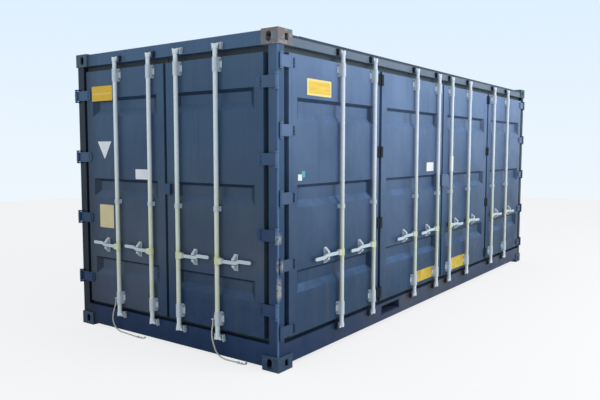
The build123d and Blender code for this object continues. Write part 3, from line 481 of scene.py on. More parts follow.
def zinc(name, base, tint, tint_low, tint_high, rough=0.52, metal=0.30, reach=None):
    """Hot-dip zinc with its spangle, and a tint between two heights.
    reach gives the distance from a bar's axis: its hub is yellowish and its handle bluish."""
    coat = Coat(name)
    cells = coat.put("ShaderNodeTexVoronoi", {"Vector": coat.places, "Scale": 85.0}, "Color")
    grain = coat.put("ShaderNodeSeparateColor", {"Color": cells}, "Red")
    coat.colour = coat.blend(grain.spread(0.0, 1.0), scaled(base, 0.90), base)
    tinted = coat.z.spread(tint_low - 0.25, tint_low) * coat.z.spread(tint_high + 0.55, tint_high)
    coat.over(tinted * coat.noise(5.0, 4.0).spread(0.25, 0.7, 0.35, 1.0), tint)
    if reach:
        coat.over(abs(coat.z - HUB_HEIGHT).spread(0.055, 0.045) * 0.7, HUB_YELLOW)
        coat.over(reach(coat).spread(0.040, 0.055), HANDLE_BLUE)
    stains = coat.noise(12.0, 7.0, 0.7).spread(0.60, 0.82, 0.0, 0.5)
    coat.over(stains, scaled(base, 0.55))
    layers = [(grain, 0.0002), (coat.noise(60.0, 4.0), 0.0006)]
    return coat.done(grain.between(rough - 0.06, rough + 0.08), layers, metal=metal)


def rubber(name, base, over, mask):
    """Door rubber dulled by weather and dust, in another colour where the mask says."""
    coat = Coat(name)
    mottle = coat.noise(30.0, 6.0, 0.7).spread(0.35, 0.75)
    coat.colour = coat.blend(mask(coat), coat.blend(mottle, scaled(base, 0.7), scaled(base, 1.3)), over)
    layers = [(coat.noise(160.0, 3.0), 0.0003)]
    return coat.done(mottle.between(0.60, 0.80), layers, specular=0.25)


def pale_rubber(coat):
    """One at the seams between the side leaves, where paint has got on the rubber, and along their tops."""
    from_middle = abs(coat.x - MIDDLE.x)
    seams = from_middle.least(abs(from_middle - FOLD_PLACE)).spread(0.06, 0.05)
    return seams.most(top_strip(coat))


def keeper_finish(name, paint, over, under, mask):
    """Cam keepers: one finish over the mask and another elsewhere, with rubbed edges."""
    coat = Coat(name)
    mottle = coat.noise(22.0, 6.0, 0.65).spread(0.3, 0.7, 0.75, 1.1)
    coat.colour = coat.blend(mottle, (0.0, 0.0, 0.0), coat.blend(mask(coat), under, over))
    coat.over(coat.worn_edges(0.003) * 0.3, paint.primer)
    return coat.done(0.5, [(coat.noise(70.0, 4.0), 0.0005)], specular=0.30)


def upper_left_keepers(coat):
    """One at the painted keepers above the left end door."""
    return upper_keepers(coat) * coat.y.spread(MIDDLE.y, MIDDLE.y + 0.01)


def black_paint(name, base):
    """Dark paint on hinges, with a little rust where they rub."""
    coat = Coat(name)
    rubbed = coat.worn_edges(0.003) * coat.noise(40.0, 5.0, 0.7).spread(0.5, 0.65)
    coat.colour = coat.blend(coat.noise(18.0, 5.0).spread(0.35, 0.7), base, scaled(base, 1.7))
    coat.over(rubbed * 0.35, (0.06, 0.05, 0.05))
    layers = [(coat.noise(90.0, 4.0), 0.0004)]
    return coat.done(rubbed.between(0.55, 0.8), layers, specular=0.20)


def bund_paint(name):
    """Two-pack paint in the tray and on its bearers, with drops and dust."""
    coat = Coat(name)
    mottle = coat.noise(3.5, 6.0, 0.6).spread(0.3, 0.7)
    coat.colour = coat.blend(mottle, (0.105, 0.115, 0.130), (0.165, 0.175, 0.190))
    drops = coat.noise(16.0, 4.0, 0.5).spread(0.68, 0.72)
    coat.over(drops * 0.4, (0.06, 0.06, 0.06))
    return coat.done(mottle.between(0.34, 0.52), [(coat.noise(6.0, 3.0), 0.004)])


def vinyl(name, base, faded, rough=0.35, stretch=None):
    """Sticker film, faded in patches and creased a little."""
    coat = Coat(name)
    patches = coat.noise(1.0 if stretch else 9.0, 5.0, 0.6, stretch).spread(0.3, 0.7)
    specks = coat.noise(90.0, 6.0, 0.7).spread(0.68, 0.74, 0.0, 0.35)
    coat.colour = coat.blend(specks, coat.blend(patches, base, faded), scaled(base, 0.45))
    return coat.done(patches.between(rough, rough + 0.15), [(coat.noise(26.0, 3.0), 0.0008)])


def rope_fibre(name, base):
    """Laid fibre rope: dark between its strands, fuzzy, and darker grey near the ground as painted shadow
    under the sill.
    """
    coat = Coat(name)
    fuzz = coat.noise(420.0, 4.0, 0.7).spread(0.3, 0.7)
    # Darker near the ground as painted shadow.
    ground_shadow = coat.z.spread(0.05, 0.0, 0.0, 0.8)
    coat.colour = coat.blend(ground_shadow, coat.blend(fuzz, scaled(base, 0.6), base), (0.045, 0.050, 0.050))
    return coat.done(0.9, [(fuzz, 0.0008)])


def floor_surface(studio):
    """The pale floor: its own colour for the camera, with the shadow kept."""
    material = bpy.data.materials.new("studio_floor")
    material.use_nodes = True
    nodes = Nodes(material.node_tree)
    colour = (*studio.floor_colour, 1.0)
    matt = nodes.put("ShaderNodeBsdfDiffuse", {"Color": colour})
    plain = nodes.put("ShaderNodeEmission", {"Color": colour, "Strength": FLOOR_GLOW})
    seen = nodes.put("ShaderNodeLightPath", out="Is Camera Ray") * FLOOR_SHARE
    nodes.put("ShaderNodeOutputMaterial", {
        "Surface": nodes.put("ShaderNodeMixShader", {0: seen, 1: matt, 2: plain})})
    return material


def backdrop_world(studio):
    """A pale backdrop for the camera and for gloss, and an even dome of light for the rest."""
    world = bpy.data.worlds.new("studio_world")
    bpy.context.scene.world = world
    world.use_nodes = True
    nodes = Nodes(world.node_tree)
    rise = nodes.split(nodes.put("ShaderNodeTexCoord", out="Generated"))[2].spread(SKY_LOW_AT, SKY_HIGH_AT)
    picture = nodes.blend(rise, studio.sky_low, studio.sky_high)
    seen = nodes.put("ShaderNodeBackground", {"Color": picture, "Strength": 1.0})
    dome = nodes.put("ShaderNodeBackground", {"Color": DOME_COLOUR, "Strength": studio.dome})
    rays = nodes.put("ShaderNodeLightPath")
    camera, glossy, through = [rays.part("Is %s Ray" % kind) for kind in ("Camera", "Glossy", "Transmission")]
    mix = nodes.put("ShaderNodeMixShader", {0: camera.most(glossy.most(through)), 1: dome, 2: seen})
    nodes.put("ShaderNodeOutputWorld", {"Surface": mix})


def add_object(name, data):
    """A new object in the scene."""
    made = bpy.data.objects.new(name, data)
    bpy.context.scene.collection.objects.link(made)
    return made


def mesh_piece(name, mesh, material, body):
    """A finished piece at the origin that rides on a body."""
    piece = add_object(name, mesh)
    mesh.materials.clear()
    mesh.materials.append(material)
    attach(piece, body)
    return piece


def bridge(shape, rings, closed=True):
    """Faces between neighbouring rings of points, and over both ends where the rings are closed."""
    for near, far in zip(rings, rings[1:]):
        for i in range(len(near) if closed else len(near) - 1):
            j = (i + 1) % len(near)
            shape.faces.new((near[i], near[j], far[j], far[i]))
    if closed:
        shape.faces.new(list(reversed(rings[0])))
        shape.faces.new(rings[-1])


def from_bmesh(name, shape, smooth=False):
    """A mesh from a bmesh, with its normals outwards."""
    bmesh.ops.recalc_face_normals(shape, faces=shape.faces)
    mesh = bpy.data.meshes.new(name)
    shape.to_mesh(mesh)
    shape.free()
    if smooth:
        mesh.shade_smooth()
    return mesh


def area_lamp(name, place, target, size, power, colour):
    """A large soft square lamp."""
    data = bpy.data.lights.new(name, "AREA")
    data.energy = power
    data.size = size
    data.color = colour
    lamp = add_object(name, data)
    lamp.location = place
    lamp.rotation_euler = (Vector(target) - Vector(place)).to_track_quat("-Z", "Y").to_euler()


def make_camera():
    """The camera at the picture's place and angle."""
    data = bpy.data.cameras.new("picture_camera")
    data.sensor_width = 36.0
    data.lens = CAMERA_LENS
    data.clip_end = 200.0
    camera = add_object("picture_camera", data)
    way = Vector((math.cos(CAMERA_RISE) * math.cos(CAMERA_HEADING),
                  math.cos(CAMERA_RISE) * math.sin(CAMERA_HEADING), math.sin(CAMERA_RISE)))
    level = way.to_track_quat("-Z", "Y").to_matrix()
    roll = Matrix.Rotation(CAMERA_ROLL, 3, "Z")
    camera.matrix_world = Matrix.Translation(CAMERA_PLACE) @ (level @ roll).to_4x4()
    bpy.context.scene.camera = camera


def end_place(from_left, height, out=0.0):
    """A point on the end doors' face, from the left edge as seen, and out of it."""
    return END_FACE - out, LEFT_EDGE - from_left, height


def side_place(from_near, height, out=0.0):
    """A point on the side doors' face, from the near end, and out of it."""
    return END_PLANE + from_near, SIDE_FACE - out, height


def rounded_plate(name, place, wide, high, corner, lift):
    """A thin plate with rounded corners on a face, between two distances and two heights."""
    corners = ((1, 1, 0), (0, 1, 90), (0, 0, 180), (1, 0, 270))
    steps = 4
    outline = []
    for right, top, start in corners:
        across = wide[right] + (-corner if right else corner)
        up = high[top] + (-corner if top else corner)
        for step in range(steps + 1):
            turn = math.radians(start + 90 * step / steps)
            outline.append((across + corner * math.cos(turn), up + corner * math.sin(turn)))
    return flat_shape(name, place, outline, lift)


def flat_shape(name, place, outline, lift=0.0):
    """A thin closed plate of any outline on a face, its outer edges eased.
    place gives the points of that face, and lift raises the plate off it."""
    ease = FILM * 0.35
    middle_across, middle_up = (sum(parts) / len(outline) for parts in zip(*outline))
    shape = bmesh.new()
    rings = []
    for out, inset in ((lift, 0.0), (lift + FILM - ease, 0.0), (lift + FILM, ease)):
        ring = []
        for across, up in outline:
            reach = max(math.hypot(across - middle_across, up - middle_up), 1e-6)
            share = 1 - inset / reach
            ring.append(shape.verts.new(place(middle_across + (across - middle_across) * share,
                                              middle_up + (up - middle_up) * share, out)))
        rings.append(ring)
    bridge(shape, rings)
    return from_bmesh(name, shape)


def cloud(name, rows):
    """A mesh of loose points, each with the way it faces."""
    mesh = bpy.data.meshes.new(name)
    mesh.from_pydata([place for place, way in rows], [], [])
    facing = mesh.attributes.new("facing", "FLOAT_VECTOR", "POINT")
    facing.data.foreach_set("vector", [part for place, way in rows for part in way])
    return mesh


class Maker(Nodes):
    """A geometry tree with a mesh, some lengths and a finish as its inputs."""

    def __init__(self, name, labels):
        super().__init__(bpy.data.node_groups.new(name, "GeometryNodeTree"))
        sockets = [("Geometry", "OUTPUT", "Geometry"), ("Geometry", "INPUT", "Geometry"),
                   *((label, "INPUT", "Float") for label in labels), ("Finish", "INPUT", "Material")]
        for label, way, kind in sockets:
            self.tree.interface.new_socket(label, in_out=way, socket_type="NodeSocket" + kind)
        given = self.tree.nodes.new("NodeGroupInput").outputs
        self.mesh = Value(self, given["Geometry"])
        self.lengths = [Value(self, given[label]) for label in labels]
        self.finish = Value(self, given["Finish"])

    def vector(self, **axes):
        """A vector from its parts."""
        return self.put("ShaderNodeCombineXYZ", axes)

    def cube(self, x, y, z):
        """A block of a size."""
        return self.put("GeometryNodeMeshCube", {"Size": self.vector(X=x, Y=y, Z=z)})

    def moved(self, piece, **axes):
        """A piece moved along the axes."""
        return self.put("GeometryNodeTransform", {"Geometry": piece, "Translation": self.vector(**axes)})

    def joined(self, *pieces):
        """Several pieces as one."""
        return self.put("GeometryNodeJoinGeometry", {"Geometry": list(pieces)})

    def copies(self, points, piece, **turned):
        """A piece on each point."""
        return self.put("GeometryNodeInstanceOnPoints", {"Points": points, "Instance": piece, **turned})

    def facing(self, piece):
        """The end of a tree: a piece on each of the mesh's points, turned its way."""
        way = self.put("GeometryNodeInputNamedAttribute", {"Name": "facing"}, "Attribute",
                       data_type="FLOAT_VECTOR")
        turn = self.put("FunctionNodeAlignRotationToVector", {"Vector": way}, axis="Z")
        return self.hand_out(self.copies(self.mesh, piece, Rotation=turn))

    def hand_out(self, geometry):
        """The end of a tree: realize the instances, set the finish and give the tree."""
        real = self.put("GeometryNodeRealizeInstances", {"Geometry": geometry})
        dressed = self.put("GeometryNodeSetMaterial", {"Geometry": real, "Material": self.finish})
        self.put("NodeGroupOutput", {"Geometry": dressed})
        return self.tree


def run_tree(name, tree, mesh, lengths, material, body):
    """Run a geometry tree on a mesh and keep the plain result as a piece."""
    holder = add_object(name + "_maker", mesh)
    modifier = holder.modifiers.new("maker", "NODES")
    modifier.node_group = tree
    values = {"Finish": material, **lengths}
    for item in tree.interface.items_tree:
        if item.in_out == "INPUT" and item.name in values:
            modifier[item.identifier] = values[item.name]
    return mesh_piece(name, plain_mesh(holder), material, body)


def plain_mesh(holder):
    """The mesh that an object comes to with its modifiers. The object itself is removed."""
    bpy.context.view_layer.update()
    mesh = bpy.data.meshes.new_from_object(holder.evaluated_get(bpy.context.evaluated_depsgraph_get()))
    bpy.data.objects.remove(holder)
    return mesh


def bolt_tree():
    """Hexagon bolt heads with washers, one on each point, facing its way."""
    maker = Maker("bolt_heads", ["Head radius", "Head height"])
    radius, height = maker.lengths
    head = maker.put("GeometryNodeMeshCylinder", {"Vertices": 6, "Radius": radius, "Depth": height})
    washer = maker.put("GeometryNodeMeshCylinder", {
        "Vertices": 14, "Radius": radius * 1.5, "Depth": height * 0.5})
    return maker.facing(maker.joined(maker.moved(head, Z=height * 0.75), washer))


def rivet_tree():
    """Low round rivet heads, one on each point, facing its way."""
    maker = Maker("rivet_heads", ["Head radius"])
    ball = maker.put("GeometryNodeMeshUVSphere", {"Segments": 10, "Rings": 6, "Radius": maker.lengths[0]})
    return maker.facing(maker.put("GeometryNodeTransform", {"Geometry": ball, "Scale": (1.0, 1.0, 0.5)}))


def weld_tree():
    """Rippled weld beads along the edges of a mesh."""
    maker = Maker("weld_beads", ["Bead radius", "Ripple"])
    radius, ripple = maker.lengths
    line = maker.put("GeometryNodeMeshToCurve", {"Mesh": maker.mesh})
    even = maker.put("GeometryNodeResampleCurve", {"Curve": line, "Length": ripple}, mode="LENGTH")
    swell = maker.put("GeometryNodeInputIndex").math("MODULO", 2.0).between(0.78, 1.12)
    uneven = maker.put("ShaderNodeTexNoise", {"Scale": 90.0, "Detail": 2.0}).between(0.75, 1.25)
    thick = swell * uneven * radius
    sized = maker.put("GeometryNodeSetCurveRadius", {"Curve": even, "Radius": thick})
    ring = maker.put("GeometryNodeCurvePrimitiveCircle", {"Resolution": 7, "Radius": 1.0})
    return maker.hand_out(maker.put("GeometryNodeCurveToMesh", {
        "Curve": sized, "Profile Curve": ring, "Scale": thick, "Fill Caps": True}))


def grating_tree():
    """Panels of welded grating, one on each point: bearing bars, cross rods and banding."""
    maker = Maker("deck_grating", ["Length", "Width", "Depth", "Bar pitch", "Rod pitch", "Bar thickness",
                                   "Rod size"])
    length, width, depth, bar_pitch, rod_pitch, bar_thick, rod_size = maker.lengths

    def row(axis, along, pitch, thick, piece):
        """A piece repeated evenly along one axis."""
        inner = along - thick
        points = maker.put("GeometryNodeMeshLine", {
            "Count": (inner / pitch).math("ROUND") + 1.0,
            "Start Location": maker.vector(**{axis: inner * -0.5}),
            "Offset": maker.vector(**{axis: inner * 0.5})}, mode="END_POINTS")
        return maker.copies(points, piece)

    rod = maker.moved(maker.cube(rod_size, width, rod_size), Z=(depth - rod_size) * 0.49)
    bands = [maker.moved(maker.cube(bar_thick, width, depth), X=(length - bar_thick) * half)
             for half in (-0.5, 0.5)]
    panel = maker.joined(row("Y", width, bar_pitch, bar_thick, maker.cube(length, bar_thick, depth)),
                         row("X", length, rod_pitch, rod_size, rod), *bands)
    return maker.hand_out(maker.copies(maker.mesh, panel))


class STORE_OT_stage(bpy.types.Operator):
    """Make the camera, the pale floor and backdrop, and the soft lamps"""

    bl_idname = "store.stage"
    bl_label = "Stage"

    def execute(self, context):
        studio = context.scene.store_studio
        make_camera()
        context.scene.view_settings.view_transform = "Standard"
        backdrop_world(studio)
        shape = bmesh.new()
        bmesh.ops.create_circle(shape, cap_ends=True, segments=180, radius=studio.floor_radius)
        for vert in shape.verts:
            vert.co.z = -FLOOR_DROP
        mesh = from_bmesh("studio_floor", shape)
        mesh.materials.append(floor_surface(studio))
        floor = add_object("studio_floor", mesh)
        if mesh.polygons[0].normal.z < 0:
            mesh.flip_normals()
        area_lamp("side_lamp", (1.0, -9.5, 6.0), (0.0, -1.2, 1.3), 6.0, studio.key_power, (1.0, 0.99, 0.97))
        area_lamp("end_lamp", (-9.5, 1.5, 5.0), (-3.0, 0.0, 1.3), 5.0, studio.fill_power, (0.97, 0.99, 1.0))
        return {"FINISHED"}


class STORE_OT_finishes(bpy.types.Operator):
    """Give every carried-over piece its own finish"""

    bl_idname = "store.finishes"
    bl_label = "Finishes"

    def execute(self, context):
        paint = context.scene.store_paint
        end_paint = (paint, paint.end_upper, paint.end_lower)
        side_paint = (paint, paint.side_upper, paint.side_lower)
        frame_paint = (paint, paint.frame_upper, paint.frame_lower)
        rail_paint = (paint, paint.rail_upper, paint.rail_lower)
        rows = [
            (navy_paint, "end_paint", (*end_paint, 0.10),
             {"bend": 0.85, "patch": door_dust, "pressed": True}, ["left_door_leaf", "right_door_leaf"]),
            (navy_paint, "side_paint", (*side_paint, 0.10), {"bend": 1.7, "shade": 0.15, "pressed": True},
             ["side_leaf_1", "side_leaf_2", "side_leaf_3", "side_leaf_4"]),
            (navy_paint, "frame_paint", (*frame_paint, 0.30), {"dusty": 0.06, "waves": 0.0012, "shade": 0.85},
             ["corner_posts", "door_header", "door_sill", "end_lock_box", "back_top_rail", "back_bottom_rail",
              "blind_end_rails"]),
            (navy_paint, "hinge_paint", (*frame_paint, 0.35), {"dusty": 0.12, "waves": 0.0012, "shade": 0.0},
             ["end_hinge_lugs", "left_door_hinges", "right_door_hinges"]),
            (navy_paint, "side_hinge_paint", (*side_paint, 0.35),
             {"waves": 0.0012, "bend": 1.35, "shade": 0.4},
             ["side_hinge_lugs", "side_hinge_blades", "side_lock_box"]),
            (navy_paint, "rail_paint", (*rail_paint, 0.25),
             {"dusty": 0.10, "waves": 0.0012, "patch": rail_dust, "shade_and_marks": (rail_top_shade, foot_dark_patches)},
             ["side_top_rail", "side_bottom_rail", "fork_pocket"]),
            (navy_paint, "wall_paint", (*side_paint, 0.20), {"waves": 0.0012},
             ["back_wall", "blind_end_wall", "roof_panel", "cross_members", "floor_plate"]),
            (casting_paint, "casting_paint", (), {}, ["bottom_castings", "top_castings"]),
            # The end bars' zinc is paler than the side bars' as painted light, making up for the dimmer light
            # on the door end.
            (zinc, "end_bar_zinc", ((0.74, 0.84, 0.90), (0.66, 0.71, 0.52), 0.45, 1.10),
             {"metal": 0.05, "reach": end_reach}, END_BARS),
            (zinc, "side_bar_zinc", ((0.67, 0.76, 0.85), (0.56, 0.62, 0.52), 0.45, 1.10),
             {"metal": 0.05, "reach": side_reach}, SIDE_BARS),
            (zinc, "fitting_zinc", ((0.58, 0.66, 0.73), (0.54, 0.61, 0.66), 0.5, 1.2), {"metal": 0.15},
             ["left_door_brackets", "right_door_brackets", "side_brackets", "left_rope_hook",
              "right_rope_hook"]),
            (zinc, "bolt_zinc", ((0.25, 0.29, 0.34), (0.28, 0.30, 0.30), 0.5, 1.2, 0.5), {}, []),
            (zinc, "grating_zinc", ((0.50, 0.52, 0.53), (0.5, 0.52, 0.53), 0.0, 0.1, 0.5), {}, ["grid_deck"]),
            (black_paint, "black_paint", ((0.005, 0.008, 0.013),), {}, ["side_fold_hinges"]),
            (keeper_finish, "end_keeper_finish",
             (paint, (0.012, 0.030, 0.070), (0.50, 0.57, 0.62), upper_left_keepers), {}, ["end_keepers"]),
            (keeper_finish, "side_keeper_finish",
             (paint, (0.010, 0.016, 0.026), (0.011, 0.019, 0.030), upper_keepers), {}, ["side_keepers"]),
            (bund_paint, "bund_paint", (), {}, ["bund_tray", "deck_bearers"]),
            (rubber, "end_rubber", ((0.042, 0.050, 0.043), (0.045, 0.062, 0.072), top_strip), {},
             ["left_door_gasket", "right_door_gasket"]),
            (rubber, "side_rubber", ((0.038, 0.048, 0.042), (0.068, 0.095, 0.105), pale_rubber), {},
             ["side_gaskets"]),
            (rope_fibre, "rope_fibre", ((0.25, 0.31, 0.36),), {}, ["left_rope", "right_rope"]),
        ]
        bare = set(frame["nodes"])
        for make, name, values, settings, nodes in rows:
            material = make(name, *values, **settings)
            for node in nodes:
                mesh = frame["nodes"][node].data
                mesh.materials.clear()
                mesh.materials.append(material)
            bare -= set(nodes)
        if bare:
            raise RuntimeError("no finish for " + ", ".join(sorted(bare)))
        return {"FINISHED"}


class STORE_OT_grating(bpy.types.Operator):
    """Lay fine welded grating panels in place of the plain deck"""

    bl_idname = "store.grating"
    bl_label = "Deck grating"

    panels: bpy.props.IntProperty(name="Panels", description="Panels along the deck", default=6, min=1)
    gap: length_setting("Gap", "Gap between two panels", 0.008, 0.0)

    def execute(self, context):
        grating = context.scene.store_grating
        low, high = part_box("grid_deck")
        pitch = (high.x - low.x) / self.panels
        middle = (low + high) / 2
        rows = [((low.x + pitch * (number + 0.5), middle.y, middle.z), (0, 0, 1))
                for number in range(self.panels)]
        lengths = {"Length": pitch - self.gap, "Width": high.y - low.y, "Depth": high.z - low.z,
                   "Bar pitch": grating.bar_pitch, "Rod pitch": grating.rod_pitch,
                   "Bar thickness": grating.bar_thick, "Rod size": grating.rod_size}
        piece = run_tree("deck_grating", grating_tree(), cloud("deck_points", rows), lengths,
                         bpy.data.materials["grating_zinc"], "root")
        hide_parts("grid_deck")
        return {"FINISHED"}


def bar_sleeve(bar, low, high):
    """A label wrapped round the outer side of a bar, between two heights."""
    axis = BAR_AXES[bar]
    start, sweep, steps = -205, 230, 16
    shape = bmesh.new()
    rings = []
    for height in (low, high):
        turns = [math.radians(start + sweep * step / steps) for step in range(steps + 1)]
        rings.append([shape.verts.new((axis.x + LABEL_REACH * math.cos(turn),
                                       axis.y + LABEL_REACH * math.sin(turn), height)) for turn in turns])
    bridge(shape, rings, closed=False)
    return from_bmesh("bar_label", shape, smooth=True)


class STORE_OT_plates(bpy.types.Operator):
    """Fix the plain plates and stickers to the doors, with nothing printed on them"""

    bl_idname = "store.plates"
    bl_label = "Plates and stickers"

    def execute(self, context):
        yellow = vinyl("yellow_vinyl", (0.74, 0.45, 0.012), (0.64, 0.40, 0.012))
        pale_yellow = vinyl("faded_yellow_vinyl", (0.84, 0.72, 0.24), (0.80, 0.68, 0.30))
        gold = vinyl("gold_vinyl", (0.82, 0.64, 0.10), (0.74, 0.45, 0.030), stretch=(6.0, 6.0, 46.0))
        low_yellow = vinyl("low_yellow_vinyl", (0.64, 0.47, 0.02), (0.34, 0.22, 0.015))
        orange = vinyl("orange_vinyl", (0.82, 0.54, 0.16), (0.80, 0.48, 0.10))
        white = vinyl("white_vinyl", (0.76, 0.80, 0.82), (0.68, 0.72, 0.75))
        tag = vinyl("tag_vinyl", (0.88, 0.92, 0.88), (0.82, 0.87, 0.82))
        tan = vinyl("data_plate", (0.66, 0.56, 0.31), (0.58, 0.50, 0.30), 0.45)
        teal = vinyl("teal_vinyl", (0.06, 0.36, 0.38), (0.10, 0.42, 0.44))
        rows = [
            ("end_yellow_plate", end_place, (0.224, 0.520), (2.145, 2.281), 0.006, 0.0, yellow),
            ("end_yellow_band", end_place, (0.236, 0.508), (2.203, 2.216), 0.002, FILM, orange),
            ("end_white_label", end_place, (0.824, 0.984), (1.4345, 1.5225), 0.004, 0.0, white),
            ("end_data_plate", end_place, (0.304, 0.506), (0.968, 1.184), 0.010, 0.0, tan),
            ("side_yellow_plate", side_place, (0.377, 0.722), (2.124, 2.254), 0.006, 0.0, pale_yellow),
            ("side_yellow_panel", side_place, (0.400, 0.702), (2.142, 2.238), 0.004, FILM, gold),
            ("low_plate_near", side_place, (2.383, 2.923), (0.287, 0.4075), 0.006, 0.0, low_yellow),
            ("low_plate_far", side_place, (3.314, 3.845), (0.277, 0.4175), 0.006, 0.0, low_yellow),
            ("side_white_label", side_place, (2.613, 2.787), (1.4665, 1.561), 0.004, 0.0, white),
            ("small_white_label", side_place, (0.257, 0.310), (1.4565, 1.5055), 0.004, 0.0, white),
            ("small_teal_label", side_place, (0.305, 0.350), (1.4805, 1.5305), 0.004, FILM, teal),
        ]
        for name, place, wide, high, corner, lift, material in rows:
            mesh_piece(name, rounded_plate(name, place, wide, high, corner, lift), material,
                       "left_door" if place is end_place else "root")
        mesh_piece("bar_white_label", bar_sleeve("side_bar_5", 1.4505, 1.625), tag, "side_bar_5")
        triangle = [(0.493, 1.7715), (0.295, 1.7715), (0.394, 1.6085)]
        mesh_piece("end_white_triangle", flat_shape("end_white_triangle", end_place, triangle), white,
                   "left_door")
        return {"FINISHED"}


class STORE_OT_fixings(bpy.types.Operator):
    """Put bolts on the bar brackets and hinge blades, and rivets on the data plate"""

    bl_idname = "store.fixings"
    bl_label = "Bolts and rivets"

    def execute(self, context):
        fixings = context.scene.store_fixings
        materials = bpy.data.materials
        tree = bolt_tree()
        bolt = {"Head radius": fixings.bolt_size, "Head height": fixings.bolt_height}
        groups = [("left_door", "left_door_brackets", END_BARS[:2]),
                  ("right_door", "right_door_brackets", END_BARS[2:]), ("root", "side_brackets", SIDE_BARS)]
        for body, node, bars in groups:
            points = cloud(body + "_bolt_points", bracket_bolts(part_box(node), bars, body == "root"))
            run_tree(body + "_bolts", tree, points, bolt, materials["bolt_zinc"], body)
        blades = [("left_door", "left_door_hinges", "hinge_paint"),
                  ("right_door", "right_door_hinges", "hinge_paint"),
                  ("root", "side_hinge_blades", "side_hinge_paint")]
        for body, node, finish in blades:
            points = cloud(node + "_bolt_points", blade_bolts(node, body))
            run_tree(node + "_bolts", tree, points, bolt, materials[finish], body)
        rivets = [(end_place(across, up, FILM), END_WAY)
                  for across in (0.314, 0.496) for up in (0.979, 1.173)]
        run_tree("data_plate_rivets", rivet_tree(), cloud("rivet_points", rivets),
                 {"Head radius": fixings.rivet_size}, materials["fitting_zinc"], "left_door")
        return {"FINISHED"}


def on_face(on_side, across, height, out):
    """A place out of the side doors' or the end doors' face, with the way it faces."""
    if on_side:
        return (across, SIDE_FACE - out, height), SIDE_WAY
    return (END_FACE - out, across, height), END_WAY


def bracket_bolts(box, bars, on_side):
    """Points for four bolts on each upper and lower bar bracket, found from the brackets' box."""
    rows = []
    for bar in bars:
        axis = BAR_AXES[bar].x if on_side else BAR_AXES[bar].y
        for middle in (box[0].z + BRACKET_HALF, box[1].z - BRACKET_HALF):
            rows += [on_face(on_side, axis + aside, middle + up, BRACKET_OUT)
                     for up in (-BRACKET_BOLT_UP, BRACKET_BOLT_UP)
                     for aside in (-BRACKET_BOLT_ASIDE, BRACKET_BOLT_ASIDE)]
    return rows


def blade_bolts(node, body):
    """Points for three bolts on the leaf's end of each hinge blade."""
    low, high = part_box(node)
    if body == "root":
        count, places = 5, [low.x + SIDE_BLADE_BOLTS, high.x - SIDE_BLADE_BOLTS]
    else:
        count, places = 4, [high.y - END_BLADE_BOLTS if body == "left_door" else low.y + END_BLADE_BOLTS]
    rise = high.z - low.z - 2 * BLADE_HALF
    rows = []
    for number in range(count):
        middle = low.z + BLADE_HALF + number / (count - 1) * rise
        rows += [on_face(body == "root", across, middle + up, BLADE_OUT)
                 for up in (-BLADE_BOLT_STEP, 0.0, BLADE_BOLT_STEP) for across in places]
    return rows


class STORE_OT_welds(bpy.types.Operator):
    """Run weld beads where the posts, rails and roof meet"""

    bl_idname = "store.welds"
    bl_label = "Weld beads"

    def execute(self, context):
        fixings = context.scene.store_fixings
        mesh = bpy.data.meshes.new("weld_lines")
        lines = frame_joints() + roof_joints() + pocket_joints()
        points = [point for line in lines for point in line]
        mesh.from_pydata(points, [(2 * i, 2 * i + 1) for i in range(len(lines))], [])
        run_tree("weld_beads", weld_tree(), mesh,
                 {"Bead radius": fixings.weld_size, "Ripple": fixings.weld_step},
                 bpy.data.materials["frame_paint"], "root")
        return {"FINISHED"}


def frame_joints():
    """Lines where the posts meet the castings and the rails meet them, on the outer faces."""
    low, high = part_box("bottom_castings")
    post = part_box("corner_posts")
    near_end, far_end = low.x + FRAME_SET, high.x - FRAME_SET
    near_side, far_side = low.y + FRAME_SET, high.y - FRAME_SET
    wide, deep, header_foot, rail_foot = 0.087, 0.077, 0.100, 0.060
    lines = []
    for x, along in ((near_end, 1), (far_end, -1)):
        for y, across in ((near_side, 1), (far_side, -1)):
            for z in (post[0].z, post[1].z):
                lines.append(((x, y, z), (x, y + across * wide, z)))
                lines.append(((x, y, z), (x + along * deep, y, z)))
    for node, x in (("door_header", near_end), ("blind_end_rails", far_end)):
        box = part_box(node)
        for y in (box[0].y, box[1].y):
            lines.append(((x, y, box[1].z), (x, y, box[1].z - header_foot)))
    for node, y in (("side_top_rail", near_side), ("back_top_rail", far_side)):
        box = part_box(node)
        for x in (box[0].x, box[1].x):
            lines.append(((x, y, box[1].z), (x, y, box[1].z - rail_foot)))
    return lines


def roof_joints():
    """Lines along the edges of the roof sheet, between the castings."""
    low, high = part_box("roof_panel")
    clear, up = 0.18, 0.002
    return [((low.x + clear, y, low.z + up), (high.x - clear, y, low.z + up)) for y in (low.y, high.y)]


def pocket_joints():
    """Lines round the fork pocket's mouth on both long sides."""
    low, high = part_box("fork_pocket")
    corners = [(low.x, low.z), (high.x, low.z), (high.x, high.z), (low.x, high.z)]
    lines = []
    for y in (low.y, high.y):
        points = [(x, y, z) for x, z in corners]
        lines += zip(points, points[1:] + points[:1])
    return lines


